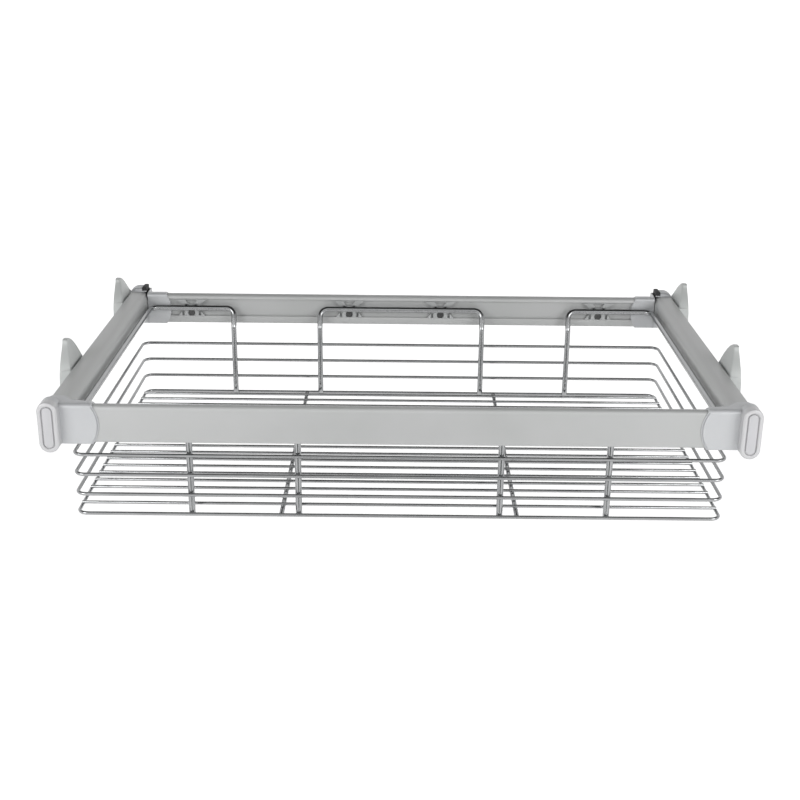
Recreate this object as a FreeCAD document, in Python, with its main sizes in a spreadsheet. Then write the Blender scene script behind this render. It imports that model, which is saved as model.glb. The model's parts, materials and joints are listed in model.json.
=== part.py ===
import FreeCAD, Part
import math
import os
import Sketcher

# Pull-out wire basket on ball bearing slides, for the inside of a wardrobe.
# X runs across the basket, the front is towards -Y and Z is up.
# The origin is under the middle of the basket, at its lowest point.

# Driving sizes in millimetres, and the counts of what repeats.
driving_sizes = {
    "overall_width": 864,
    "slide_length": 450,
    "slide_height": 42,
    "slide_thickness": 12.7,
    "slide_clearance": 0.2,
    "slide_front_gap": 3,
    "slide_rear_inset": 2,
    "steel_gap": 0.1,
    "seat_gap": 0.05,
    "end_gap": 0.5,
    "cut_past": 0.5,
    "basket_overhang": 6.4,
    "basket_front_gap": 15.3,
    "basket_rear_gap": 14.7,
    "ring_pitch": 26,
    "ring_corner": 12,
    "ring_wire": 4,
    "floor_wire": 4,
    "floor_wire_count": 18,
    "bearer_wire": 6,
    "bearer_inset": 250,
    "hanger_wire": 8,
    "hanger_inner_place": 123.5,
    "hanger_outer_inset": 140,
    "hanger_bend": 12,
    "hanger_lean": 26,
    "hanger_stand_off": 1.8,
    "hanger_side_stand_off": 2.2,
    "hanger_foot": 1,
    "hanger_foot_chamfer": 2,
    "run_above_middle": 3,
    "bar_above_basket": 27,
    "bar_height": 48,
    "bar_depth": 13,
    "bar_wall": 1.6,
    "bar_front_round": 6,
    "bar_back_round": 3,
    "bar_end_inset": 4,
    "rear_bar_height": 45,
    "rear_bar_inset": 19,
    "rear_bar_end_inset": 3,
    "channel_rise": 1.8,
    "channel_height": 30,
    "channel_mouth": 26.5,
    "channel_depth": 4,
    "channel_lip": 1.6,
    "side_bar_width": 24.8,
    "side_bar_outset": 18.6,
    "side_wall": 1.5,
    "side_top_wall": 2.2,
    "side_chamber_height": 31.6,
    "side_round": 3,
    "rail_steel": 1.2,
    "rail_lip": 1.8,
    "race_gap": 3.4,
    "ball_size": 3.8,
    "ball_clearance": 0.05,
    "ball_row_count": 3,
    "ball_pitch": 60,
    "cage_steel": 0.6,
    "cage_length": 165,
    "cage_gap": 0.25,
    "buffer_length": 6,
    "buffer_gap": 0.3,
    "buffer_edge": 1.5,
    "bracket_front_place": 131,
    "bracket_rear_place": 73,
    "bracket_hole_place": 30,
    "bracket_low_rise": 6,
    "bracket_toe": 4,
    "bracket_shoulder": 11,
    "bracket_slide_gap": 1,
    "bracket_foot_margin": 5,
    "bracket_foot_inset": 2.5,
    "bracket_foot_root": 2,
    "fin_length": 66,
    "fin_rise": 29.4,
    "fin_tip_drop": 3.2,
    "fin_tip_round": 6.7,
    "fin_back_drop": 12,
    "fin_slope_drop": 16,
    "fin_tip_thickness": 6.5,
    "wall_screw_spacing": 32,
    "wall_screw_hole": 5.5,
    "wall_screw_access": 9,
    "rivet_size": 4.8,
    "rivet_spacing": 24,
    "rivet_depth": 8,
    "cover_wall": 1.1,
    "cover_arm": 65,
    "cover_bulge": 41,
    "cover_side_arm": 60,
    "cover_outset": 4.6,
    "cover_corner": 9,
    "cap_depth": 11.3,
    "cap_width": 24,
    "cap_drop": 9.6,
    "cap_rise": 0,
    "cap_overlap": 8.4,
    "cap_edge": 2.4,
    "inlay_width": 13,
    "inlay_border": 1.9,
    "inlay_depth": 2,
    "inlay_edge": 0.8,
    "connector_arm": 36,
    "connector_chamfer": 5,
    "hump_height": 5,
    "hump_length": 26,
    "hump_shoulder": 6,
    "bumper_width": 7,
    "bumper_length": 16,
    "bumper_inset": 2.4,
    "bumper_above_hump": 1.3,
    "bumper_edge": 2.5,
    "clip_width": 40,
    "clip_waist": 24,
    "clip_slack": 0.15,
    "clip_inner_place": 70,
    "clip_outer_inset": 76.6,
    "clip_hook_width": 3,
    "clip_hook_place": 7.5,
    "clip_hook_wall": 1.2,
    "clip_screw_drop": 9.5,
    "clip_screw_head": 8,
    "clip_screw_head_height": 1.6,
    "clip_screw_shank": 4.2,
    "clip_bore_depth": 2,
    "clip_bore_gap": 0.5,
    "rail_screw_place": 35,
    "rail_screw_pitch": 160,
    "rail_screw_head": 8,
    "rail_screw_head_height": 1.8,
    "rail_screw_shank": 4,
    "rail_screw_length": 8,
}

# Flat sides of the round wires, of the balls, of the small fasteners and of their holes,
# the turn of one chord in a bent wire, and the chords in a round end of a cap.
thin_wire_sides = 8
thick_wire_sides = 12
ball_sides = 6
fastener_sides = 8
chord_turn = math.radians(30)
cap_end_chords = 12
half_octagon_turn = math.pi / 8

# How near a place or an angle has to be to count as the same, and the least that a cut removes.
place_slack = 0.01
angle_slack = 0.001
least_cut = 0.01

doc = FreeCAD.newDocument("wire_basket")
sheet = doc.addObject("Spreadsheet::Sheet", "sizes")
for row, (alias, number) in enumerate(driving_sizes.items(), start=1):
    sheet.set("A%d" % row, alias)
    sheet.set("B%d" % row, str(number))
    sheet.setAlias("B%d" % row, alias)
doc.recompute()


class Measure:
    # A size, as its number and as the formula that gives it from the sheet.

    def __init__(self, number, formula):
        self.number = float(number)
        self.formula = formula

    def __float__(self):
        return self.number

    def __add__(self, other):
        other = measure(other)
        return Measure(self.number + other.number, "(%s + %s)" % (self.formula, other.formula))

    def __sub__(self, other):
        other = measure(other)
        return Measure(self.number - other.number, "(%s - %s)" % (self.formula, other.formula))

    def __mul__(self, other):
        other = measure(other)
        return Measure(self.number * other.number, "(%s * %s)" % (self.formula, other.formula))

    def __truediv__(self, other):
        other = measure(other)
        return Measure(self.number / other.number, "(%s / %s)" % (self.formula, other.formula))

    def __radd__(self, other):
        return measure(other) + self

    def __rsub__(self, other):
        return measure(other) - self

    def __rmul__(self, other):
        return measure(other) * self

    def __neg__(self):
        return Measure(-self.number, "(0 - %s)" % self.formula)


def measure(thing):
    if isinstance(thing, Measure):
        return thing
    return Measure(thing, "%.6g" % thing)


class Sizes:
    def __getattr__(self, alias):
        return Measure(sheet.get(alias), "sizes." + alias)


size = Sizes()
left_to_right = FreeCAD.Vector(1, 0, 0)
front_to_rear = FreeCAD.Vector(0, 1, 0)
upwards = FreeCAD.Vector(0, 0, 1)

# Heights, from the floor bearers up to the frame.
floor_z = size.bearer_wire + size.seat_gap + size.floor_wire / 2
bottom_ring_z = floor_z - size.floor_wire / 2 - size.seat_gap - size.ring_wire / 2
top_ring_z = bottom_ring_z + size.ring_pitch * 3
bar_bottom = top_ring_z + size.bar_above_basket
bar_top = bar_bottom + size.bar_height
bar_middle = bar_bottom + size.bar_height / 2
channel_middle = bar_middle + size.channel_rise
rear_low = bar_middle - size.rear_bar_height / 2
rear_high = bar_middle + size.rear_bar_height / 2
run_z = bar_middle + size.run_above_middle
lean_z = run_z - size.hanger_lean
foot_z = bottom_ring_z - size.ring_wire / 2 - size.hanger_foot

# Depths, from the face of the front bar back to the ends of the side bars.
cover_skin = size.cover_wall + size.steel_gap
cap_reach = cover_skin + size.steel_gap + size.cap_depth
frame_depth = size.cover_side_arm + size.slide_front_gap + size.slide_length + size.slide_rear_inset
total_depth = frame_depth + cap_reach
face_y = cap_reach - total_depth / 2
rear_end_y = total_depth / 2
front_bar_back = face_y + size.bar_depth
rear_bar_back = rear_end_y - size.rear_bar_inset
rear_bar_face = rear_bar_back - size.bar_depth
ring_front_y = front_bar_back + size.basket_front_gap
ring_rear_y = rear_bar_face - size.basket_rear_gap
basket_depth = ring_rear_y - ring_front_y
run_gap = size.hanger_stand_off + size.hanger_wire / 2
front_run_y = front_bar_back + run_gap
rear_run_y = rear_bar_face - run_gap
drop_inset = size.ring_wire / 2 + size.hanger_wire / 2 + size.seat_gap
front_drop_y = ring_front_y + drop_inset
rear_drop_y = ring_rear_y - drop_inset

# Widths, from the cabinet wall in to the basket.
wall_x = size.overall_width / 2
side_outer = wall_x - size.side_bar_outset
side_inner = side_outer - size.side_bar_width
half_basket = side_inner + size.basket_overhang
slide_outer = side_outer - size.slide_clearance
rail_face = slide_outer - size.slide_thickness
cavity_end = rail_face - size.side_wall
side_run_x = side_inner - size.hanger_side_stand_off - size.hanger_wire / 2
outer_drop_x = half_basket - size.hanger_outer_inset
outer_clip_x = side_inner - size.clip_outer_inset
front_bar_half = cavity_end - size.bar_end_inset
rear_bar_half = side_inner - size.rear_bar_end_inset

# The slide's ends and the brackets that carry it.
slide_rear_y = rear_end_y - size.slide_rear_inset
slide_front_y = slide_rear_y - size.slide_length
moving_rail_length = size.slide_length - size.buffer_length - size.buffer_gap
ball_middle_y = (slide_front_y + slide_rear_y) / 2
front_fin_y = face_y + size.bracket_front_place
rear_fin_y = rear_end_y - size.bracket_rear_place


def bind(thing, name, amount):
    thing.setExpression(name, measure(amount).formula)


def new_body(label):
    body = doc.addObject("PartDesign::Body", label)
    body.Label = label
    return body


def origin_part(body, role):
    return [item for item in body.Origin.OriginFeatures if item.Role == role][0]


def new_sketch(body, role, offset=0):
    # A sketch on one of the body's own origin planes, moved along the plane's normal.
    sketch = body.newObject("Sketcher::SketchObject", body.Name + "_sketch")
    sketch.AttachmentSupport = [(origin_part(body, role), "")]
    sketch.MapMode = "FlatFace"
    bind(sketch, ".AttachmentOffset.Base.z", offset)
    return sketch


def tie(sketch, index, end, point):
    for kind, amount in zip(("DistanceX", "DistanceY"), point):
        rule = Sketcher.Constraint(kind, -1, 1, index, end, float(amount))
        number = sketch.addConstraint(rule)
        sketch.setExpression("Constraints[%d]" % number, measure(amount).formula)


def corner_directions(corners, index):
    # Which way the edges before and after a square corner leave it.
    x, y = corners[index]
    directions = []
    for other in (corners[index - 1], corners[(index + 1) % len(corners)]):
        along_x = float(other[0]) - float(x)
        along_y = float(other[1]) - float(y)
        if abs(along_x) > abs(along_y):
            directions.append((math.copysign(1, along_x), 0))
        else:
            directions.append((0, math.copysign(1, along_y)))
    return directions


def rounded(corners, radii):
    # Square corners given a radius: each becomes two points and the centre of its arc.
    points = []
    centres = {}
    for index, (x, y) in enumerate(corners):
        if index not in radii:
            points.append((x, y))
            continue
        radius = measure(radii[index])
        (before_x, before_y), (after_x, after_y) = corner_directions(corners, index)
        centres[len(points)] = (x + radius * (before_x + after_x), y + radius * (before_y + after_y))
        points.append((x + radius * before_x, y + radius * before_y))
        points.append((x + radius * after_x, y + radius * after_y))
    return points, centres


def chorded(corners, radius):
    # Square corners, each bent round in a few equal chords.
    points = []
    chords = round(math.pi / 2 / chord_turn)
    for index, (x, y) in enumerate(corners):
        (before_x, before_y), (after_x, after_y) = corner_directions(corners, index)
        for step in range(chords + 1):
            angle = math.pi / 2 * step / chords
            along_before = 1 - math.sin(angle)
            along_after = 1 - math.cos(angle)
            points.append((x + radius * (before_x * along_before + after_x * along_after),
                           y + radius * (before_y * along_before + after_y * along_after)))
    return points


def box_corners(low_x, high_x, low_y, high_y):
    return [(low_x, low_y), (high_x, low_y), (high_x, high_y), (low_x, high_y)]


def polygon(centre_x, centre_y, radius, sides):
    # An even polygon that stands on one of its sides.
    angles = [2 * math.pi * (corner + 0.5) / sides for corner in range(sides)]
    return [(centre_x + radius * math.sin(angle), centre_y - radius * math.cos(angle)) for angle in angles]


def draw(sketch, points, centres=None):
    # A closed outline: straight edges, or an arc from a point where a centre is given.
    centres = centres or {}
    first = sketch.GeometryCount
    count = len(points)
    ends = []
    for index in range(count):
        start = FreeCAD.Vector(float(points[index][0]), float(points[index][1]), 0)
        stop_point = points[(index + 1) % count]
        stop = FreeCAD.Vector(float(stop_point[0]), float(stop_point[1]), 0)
        if index not in centres:
            sketch.addGeometry(Part.LineSegment(start, stop), False)
            ends.append((1, 2))
            continue
        centre = FreeCAD.Vector(float(centres[index][0]), float(centres[index][1]), 0)
        from_angle = math.atan2(start.y - centre.y, start.x - centre.x)
        to_angle = math.atan2(stop.y - centre.y, stop.x - centre.x)
        turn = (to_angle - from_angle) % (2 * math.pi)
        circle = Part.Circle(centre, upwards, (start - centre).Length)
        if turn <= math.pi + angle_slack:
            sketch.addGeometry(Part.ArcOfCircle(circle, from_angle, from_angle + turn), False)
            ends.append((1, 2))
        else:
            sketch.addGeometry(Part.ArcOfCircle(circle, to_angle, to_angle + 2 * math.pi - turn), False)
            ends.append((2, 1))
    for index in range(count):
        after = (index + 1) % count
        rule = Sketcher.Constraint("Coincident", first + index, ends[index][1], first + after, ends[after][0])
        sketch.addConstraint(rule)
        tie(sketch, first + index, ends[index][0], points[index])
    for index, centre in centres.items():
        chord_x = abs(float(points[index][0]) - float(points[(index + 1) % count][0]))
        chord_y = abs(float(points[index][1]) - float(points[(index + 1) % count][1]))
        side = 1 if chord_x > chord_y else 0
        kind = ("DistanceX", "DistanceY")[side]
        number = sketch.addConstraint(
            Sketcher.Constraint(kind, -1, 1, first + index, 3, float(centre[side])))
        sketch.setExpression("Constraints[%d]" % number, measure(centre[side]).formula)


def draw_circle(sketch, x, y, diameter):
    index = sketch.GeometryCount
    centre = FreeCAD.Vector(float(x), float(y), 0)
    sketch.addGeometry(Part.Circle(centre, upwards, float(diameter) / 2), False)
    tie(sketch, index, 3, (x, y))
    number = sketch.addConstraint(Sketcher.Constraint("Diameter", index, float(diameter)))
    sketch.setExpression("Constraints[%d]" % number, measure(diameter).formula)


def draw_hole(sketch, x, y, width):
    # A small hole with flat sides, as wide between its flats as the thing it takes.
    draw(sketch, polygon(x, y, width / (2 * math.cos(math.pi / fastener_sides)), fastener_sides))


def stadium(centre_x, low_y, high_y, width):
    # An upright slot outline, each round end in equal chords.
    reach = width / 2
    points = []
    for middle_y, start_angle in ((low_y + reach, math.pi), (high_y - reach, 0)):
        for step in range(cap_end_chords + 1):
            angle = start_angle + math.pi * step / cap_end_chords
            points.append((centre_x + reach * math.cos(angle), middle_y + reach * math.sin(angle)))
    return points


def pad(body, sketch, length, both_ways=False, backwards=False):
    feature = body.newObject("PartDesign::Pad", body.Name + "_pad")
    feature.Profile = sketch
    bind(feature, "Length", length)
    feature.SideType = "Symmetric" if both_ways else "One side"
    feature.Reversed = backwards
    return feature


def pocket(body, sketch, length, both_ways=False, backwards=False):
    doc.recompute()
    before = body.Shape.Volume
    feature = body.newObject("PartDesign::Pocket", body.Name + "_pocket")
    feature.Profile = sketch
    bind(feature, "Length", length)
    feature.SideType = "Symmetric" if both_ways else "One side"
    feature.Reversed = backwards
    doc.recompute()
    if not body.Shape.Volume < before - least_cut:
        raise RuntimeError("a pocket in %s removes nothing" % body.Label)
    return feature


def row(body, originals, count, length):
    # The same features again and again from front to rear.
    pattern = body.newObject("PartDesign::LinearPattern", body.Name + "_row")
    pattern.Originals = originals
    pattern.Direction = (origin_part(body, "Y_Axis"), [""])
    bind(pattern, "Occurrences", count)
    bind(pattern, "Length", length)
    body.Tip = pattern


def edges_of(shape, chosen):
    # The names of the edges that a test picks by their middle points.
    numbered = enumerate(shape.Edges, start=1)
    return ["Edge%d" % number for number, edge in numbered
            if chosen(edge.valueAt((edge.FirstParameter + edge.LastParameter) / 2))]


def fillet(body, radius, chosen):
    doc.recompute()
    base = body.Tip
    names = edges_of(body.Shape, chosen)
    feature = body.newObject("PartDesign::Fillet", body.Name + "_fillet")
    feature.Base = (base, names)
    bind(feature, "Radius", radius)


def chamfer(body, reach, chosen):
    doc.recompute()
    base = body.Tip
    names = edges_of(body.Shape, chosen)
    feature = body.newObject("PartDesign::Chamfer", body.Name + "_chamfer")
    feature.Base = (base, names)
    bind(feature, "Size", reach)


def mirrored(source, label, normal=left_to_right):
    twin = doc.addObject("Part::Mirroring", label)
    twin.Label = label
    twin.Source = source
    twin.Normal = normal
    return twin


def group(label, members):
    bundle = doc.addObject("Part::Compound", label)
    bundle.Label = label
    bundle.Links = members
    return bundle


def rod(name, radius, length, place, direction, sides=fastener_sides):
    prism = doc.addObject("Part::Prism", name)
    prism.Polygon = sides
    bind(prism, "Circumradius", radius)
    bind(prism, "Height", length)
    prism.Placement.Rotation = FreeCAD.Rotation(upwards, direction)
    for axis, amount in zip("xyz", place):
        bind(prism, ".Placement.Base." + axis, amount)
    return prism


def near(value, amount):
    return abs(value - float(amount)) < place_slack


nodes = []


def add_pair(body, name):
    # The right hand piece and its twin on the left.
    nodes.append(body)
    nodes.append(mirrored(body, name + "_left"))


# Basket wires

def ring_wire(number):
    # One closed rectangular wire with bent corners, lying flat at its level.
    body = new_body("ring_wire_%d" % number)
    route = new_sketch(body, "XY_Plane")
    draw(route, chorded(box_corners(-half_basket, half_basket, ring_front_y, ring_rear_y), size.ring_corner))
    section = new_sketch(body, "YZ_Plane")
    draw(section, polygon(ring_front_y, measure(0), size.ring_wire / 2, thin_wire_sides))
    doc.recompute()
    wire = body.newObject("PartDesign::AdditivePipe", body.Name + "_pipe")
    wire.Profile = section
    wire.Spine = (route, [])
    wire.Transition = "Right corner"
    bind(body, ".Placement.Base.z", top_ring_z - size.ring_pitch * (number - 1))
    nodes.append(body)


def floor_wires():
    # Thin rods across the basket, resting on the bearers and on the bottom ring.
    pitch = basket_depth / (size.floor_wire_count + 1)
    body = new_body("floor_wires")
    body.AllowCompound = True
    section = new_sketch(body, "YZ_Plane")
    draw(section, polygon(ring_front_y + pitch, floor_z, size.floor_wire / 2, thin_wire_sides))
    first_wire = pad(body, section, half_basket * 2, both_ways=True)
    row(body, [first_wire], size.floor_wire_count, pitch * (size.floor_wire_count - 1))
    nodes.append(body)


def floor_bearer(side, label):
    start_y = ring_front_y + size.ring_wire / 2 + size.seat_gap
    length = basket_depth - size.ring_wire - size.seat_gap * 2
    place_x = (half_basket - size.bearer_inset) * side
    bearer = rod(label, size.bearer_wire / 2, length, (place_x, start_y, size.bearer_wire / 2),
                 front_to_rear, thick_wire_sides)
    bearer.Label = label
    nodes.append(bearer)


def bent_route(points, radius):
    # Straight runs joined by bends, each bend in a few equal chords.
    corners = [FreeCAD.Vector(*[float(part) for part in point]) for point in points]
    route = [corners[0]]
    for before, corner, after in zip(corners, corners[1:], corners[2:]):
        back = (before - corner).normalize()
        ahead = (after - corner).normalize()
        half_angle = back.getAngle(ahead) / 2
        centre = corner + (back + ahead).normalize() * (radius / math.sin(half_angle))
        reach = radius / math.tan(half_angle)
        enter = corner + back * reach - centre
        leave = corner + ahead * reach - centre
        turn = math.pi - half_angle * 2
        chords = max(1, round(turn / chord_turn))
        for step in range(chords + 1):
            share = step / chords
            from_enter = math.sin((1 - share) * turn) / math.sin(turn)
            from_leave = math.sin(share * turn) / math.sin(turn)
            route.append(centre + enter * from_enter + leave * from_leave)
    route.append(corners[-1])
    return Part.makePolygon(route)


def hanger(label, points):
    # A thick rod bent along its route, with the cut foot at each end chamfered.
    route = doc.addObject("Part::Feature", label + "_route")
    route.Shape = bent_route(points, float(size.hanger_bend))
    section = doc.addObject("Part::RegularPolygon", label + "_section")
    section.Polygon = thick_wire_sides
    bind(section, "Circumradius", size.hanger_wire / 2)
    for axis, amount in zip("xyz", points[0]):
        bind(section, ".Placement.Base." + axis, amount)
    sweep = doc.addObject("Part::Sweep", label + "_sweep")
    sweep.Sections = [section]
    sweep.Spine = (route, ["Edge%d" % number for number in range(1, len(route.Shape.Edges) + 1)])
    sweep.Solid = True
    sweep.Frenet = False
    sweep.Transition = "Right corner"
    doc.recompute()
    rims = edges_of(sweep.Shape, lambda middle: near(middle.z, foot_z))
    reach = float(size.hanger_foot_chamfer)
    bent_rod = doc.addObject("Part::Chamfer", label)
    bent_rod.Base = sweep
    bent_rod.Edges = [(int(name[4:]), reach, reach) for name in rims]
    bent_rod.Label = label
    nodes.append(bent_rod)


def middle_hanger(label, drop_y, run_y):
    place = size.hanger_inner_place
    hanger(label, [
        (-place, drop_y, foot_z),
        (-place, drop_y, lean_z),
        (-place, run_y, run_z),
        (place, run_y, run_z),
        (place, drop_y, lean_z),
        (place, drop_y, foot_z),
    ])


def side_hanger(side, label):
    drop_x = outer_drop_x * side
    run_x = side_run_x * side
    hanger(label, [
        (drop_x, front_drop_y, foot_z),
        (drop_x, front_drop_y, lean_z),
        (drop_x, front_run_y, run_z),
        (run_x, front_run_y, run_z),
        (run_x, rear_run_y, run_z),
        (drop_x, rear_run_y, run_z),
        (drop_x, rear_drop_y, lean_z),
        (drop_x, rear_drop_y, foot_z),
    ])


for level in range(1, 5):
    ring_wire(level)
floor_wires()
floor_bearer(-1, "floor_bearer_left")
floor_bearer(1, "floor_bearer_right")
middle_hanger("middle_hanger_front", front_drop_y, front_run_y)
middle_hanger("middle_hanger_rear", rear_drop_y, rear_run_y)
side_hanger(-1, "side_hanger_left")
side_hanger(1, "side_hanger_right")


# Frame bars

clip_places = [-outer_clip_x, -size.clip_inner_place, size.clip_inner_place, outer_clip_x]
clip_screw_z = run_z - size.clip_screw_drop
clip_pilot = size.clip_screw_shank + size.steel_gap


def cross_bar(label, face, back, low_z, high_z, half_length):
    # A hollow extrusion with a slotted channel along the side that faces the basket.
    inwards = math.copysign(1, float(back) - float(face))
    lip = size.channel_lip * inwards
    deep = size.channel_depth * inwards
    wall = size.bar_wall * inwards
    mouth_low = channel_middle - size.channel_mouth / 2
    mouth_high = channel_middle + size.channel_mouth / 2
    slot_low = channel_middle - size.channel_height / 2
    slot_high = channel_middle + size.channel_height / 2
    body = new_body(label)
    section = new_sketch(body, "YZ_Plane")
    corners = [
        (face, low_z),
        (back, low_z),
        (back, mouth_low),
        (back - lip, mouth_low),
        (back - lip, slot_low),
        (back - deep, slot_low),
        (back - deep, slot_high),
        (back - lip, slot_high),
        (back - lip, mouth_high),
        (back, mouth_high),
        (back, high_z),
        (face, high_z),
    ]
    radii = {0: size.bar_wall, 1: size.bar_wall, 10: size.bar_back_round, 11: size.bar_front_round}
    draw(section, *rounded(corners, radii))
    chamber = box_corners(face + wall, back - deep - wall, low_z + size.bar_wall, high_z - size.bar_wall)
    draw(section, *rounded(chamber, {3: size.bar_front_round - size.bar_wall}))
    pad(body, section, half_length * 2, both_ways=True)
    holes = new_sketch(body, "XZ_Plane", deep - back)
    for place in clip_places:
        draw_hole(holes, place, clip_screw_z, clip_pilot)
    pocket(body, holes, size.bar_wall + size.cut_past, backwards=inwards > 0)
    nodes.append(body)


def rail_screw_places():
    first = slide_front_y + size.rail_screw_place
    return [first, first + size.rail_screw_pitch, first + size.rail_screw_pitch * 2]


def side_bar():
    # A hollow rail with a channel that is open to the cabinet wall and hides the slide.
    body = new_body("side_bar_right")
    section = new_sketch(body, "XZ_Plane")
    step_z = bar_top - size.side_chamber_height
    corners = [
        (side_inner, bar_top),
        (side_outer, bar_top),
        (side_outer, bar_top - size.side_top_wall),
        (rail_face, bar_top - size.side_top_wall),
        (rail_face, bar_bottom + size.side_top_wall),
        (side_outer, bar_bottom + size.side_top_wall),
        (side_outer, bar_bottom),
        (cavity_end, bar_bottom),
        (cavity_end, step_z),
        (side_inner, step_z),
    ]
    radii = {0: size.side_round, 7: size.side_wall, 9: size.side_wall}
    draw(section, *rounded(corners, radii))
    draw(section, box_corners(side_inner + size.side_wall, cavity_end, step_z + size.side_wall,
                              bar_top - size.side_top_wall))
    start_y = front_bar_back + size.end_gap
    pad(body, section, slide_rear_y - start_y, backwards=True)
    bind(body, ".Placement.Base.y", start_y)
    holes = new_sketch(body, "YZ_Plane", rail_face)
    for place in rail_screw_places():
        draw_hole(holes, place - start_y, bar_middle, size.rail_screw_shank + size.steel_gap)
    pocket(body, holes, size.side_wall + size.cut_past)
    add_pair(body, "side_bar")


cross_bar("front_bar", face_y, front_bar_back, bar_bottom, bar_top, front_bar_half)
cross_bar("rear_bar", rear_bar_back, rear_bar_face, rear_low, rear_high, rear_bar_half)
side_bar()


# Front corner covers, their oval caps and the caps' inlays

cover_inner_x = side_inner - cover_skin
cover_outer_x = side_outer + size.cover_outset
cover_apex_x = cover_outer_x - size.cover_arm
cover_low = bar_bottom - cover_skin
cover_high = bar_top + cover_skin
cover_front = face_y - cover_skin
cover_back = front_bar_back + cover_skin
cover_rear = face_y + size.cover_side_arm
cap_middle_x = side_outer + size.cap_overlap - size.cap_width / 2
cap_low = bar_bottom - size.cap_drop
cap_high = bar_top + size.cap_rise
cap_back_y = cover_front - size.steel_gap


def corner_cover():
    # A hollow corner that takes the end of the front bar and the end of the side bar.
    body = new_body("corner_cover_right")
    top_view = new_sketch(body, "XY_Plane", cover_low)
    corners = [
        (cover_apex_x, cover_front),
        (cover_outer_x, cover_front),
        (cover_outer_x, cover_rear),
        (cover_inner_x, cover_rear),
        (cover_inner_x, cover_back),
        (cover_apex_x, cover_back),
    ]
    draw(top_view, *rounded(corners, {1: size.cover_corner}))
    pad(body, top_view, cover_high - cover_low)

    def top_outer_edge(middle):
        outside = near(middle.y, cover_front) or near(middle.x, cover_outer_x)
        corner = middle.x > float(cover_outer_x - size.cover_corner)
        corner = corner and middle.y < float(cover_front + size.cover_corner)
        return near(middle.z, cover_high) and (outside or corner)

    fillet(body, size.bar_front_round, top_outer_edge)
    # The parting line on the front bar is an arc that bulges towards the middle.
    bulge = new_sketch(body, "XZ_Plane", -(cover_front + cover_back) / 2)
    centre_x = cover_apex_x + size.cover_bulge
    past_apex = cover_apex_x - size.cut_past
    points = [
        (centre_x, bar_middle + size.cover_bulge),
        (centre_x, bar_middle - size.cover_bulge),
        (past_apex, bar_middle - size.cover_bulge),
        (past_apex, bar_middle + size.cover_bulge),
    ]
    draw(bulge, points, {0: (centre_x, bar_middle)})
    pocket(body, bulge, size.bar_depth * 2, both_ways=True)
    # Round seat for the oval cap.
    boss = new_sketch(body, "XZ_Plane", -cap_back_y)
    draw(boss, stadium(cap_middle_x, cap_low, cap_high, size.cap_width))
    pad(body, boss, size.cap_depth, backwards=True)
    # Sockets for the two bars.
    gap = size.steel_gap
    socket = new_sketch(body, "YZ_Plane", front_bar_half + size.end_gap)
    corners = box_corners(face_y - gap, front_bar_back + gap, bar_bottom - gap, bar_top + gap)
    draw(socket, *rounded(corners, {3: size.bar_front_round}))
    pocket(body, socket, size.cover_arm)
    socket = new_sketch(body, "XZ_Plane", -(front_bar_back + gap))
    corners = box_corners(side_inner - gap, side_outer + gap, bar_bottom - gap, bar_top + gap)
    draw(socket, *rounded(corners, {3: size.side_round}))
    pocket(body, socket, size.cover_side_arm)
    add_pair(body, "corner_cover")


def end_cap():
    # The oval cap with a bevelled rim and a recess for its inlay.
    body = new_body("end_cap_right")
    front_y = cap_back_y - size.cap_depth
    outline = new_sketch(body, "XZ_Plane", -cap_back_y)
    draw(outline, stadium(cap_middle_x, cap_low, cap_high, size.cap_width))
    pad(body, outline, size.cap_depth)
    chamfer(body, size.cap_edge, lambda middle: near(middle.y, front_y))
    margin = (size.cap_width - size.inlay_width) / 2 - size.inlay_border
    recess = new_sketch(body, "XZ_Plane", -front_y)
    draw(recess, stadium(cap_middle_x, cap_low + margin, cap_high - margin, size.cap_width - margin * 2))
    pocket(body, recess, size.inlay_depth)
    add_pair(body, "end_cap")
    margin = margin + size.inlay_border
    inlay = new_body("cap_inlay_right")
    outline = new_sketch(inlay, "XZ_Plane", -(front_y + size.inlay_depth))
    draw(outline, stadium(cap_middle_x, cap_low + margin, cap_high - margin, size.inlay_width))
    pad(inlay, outline, size.inlay_depth)
    chamfer(inlay, size.inlay_edge, lambda middle: near(middle.y, front_y))
    add_pair(inlay, "cap_inlay")


corner_cover()
end_cap()


# Rear corner connectors and their rubber bumpers

plate_low = bar_top + size.steel_gap
plate_high = plate_low + size.cover_wall
hump_z = bar_top + size.hump_height
bumper_start_x = side_inner + size.bumper_inset
bumper_end_x = bumper_start_x + size.bumper_width


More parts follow.
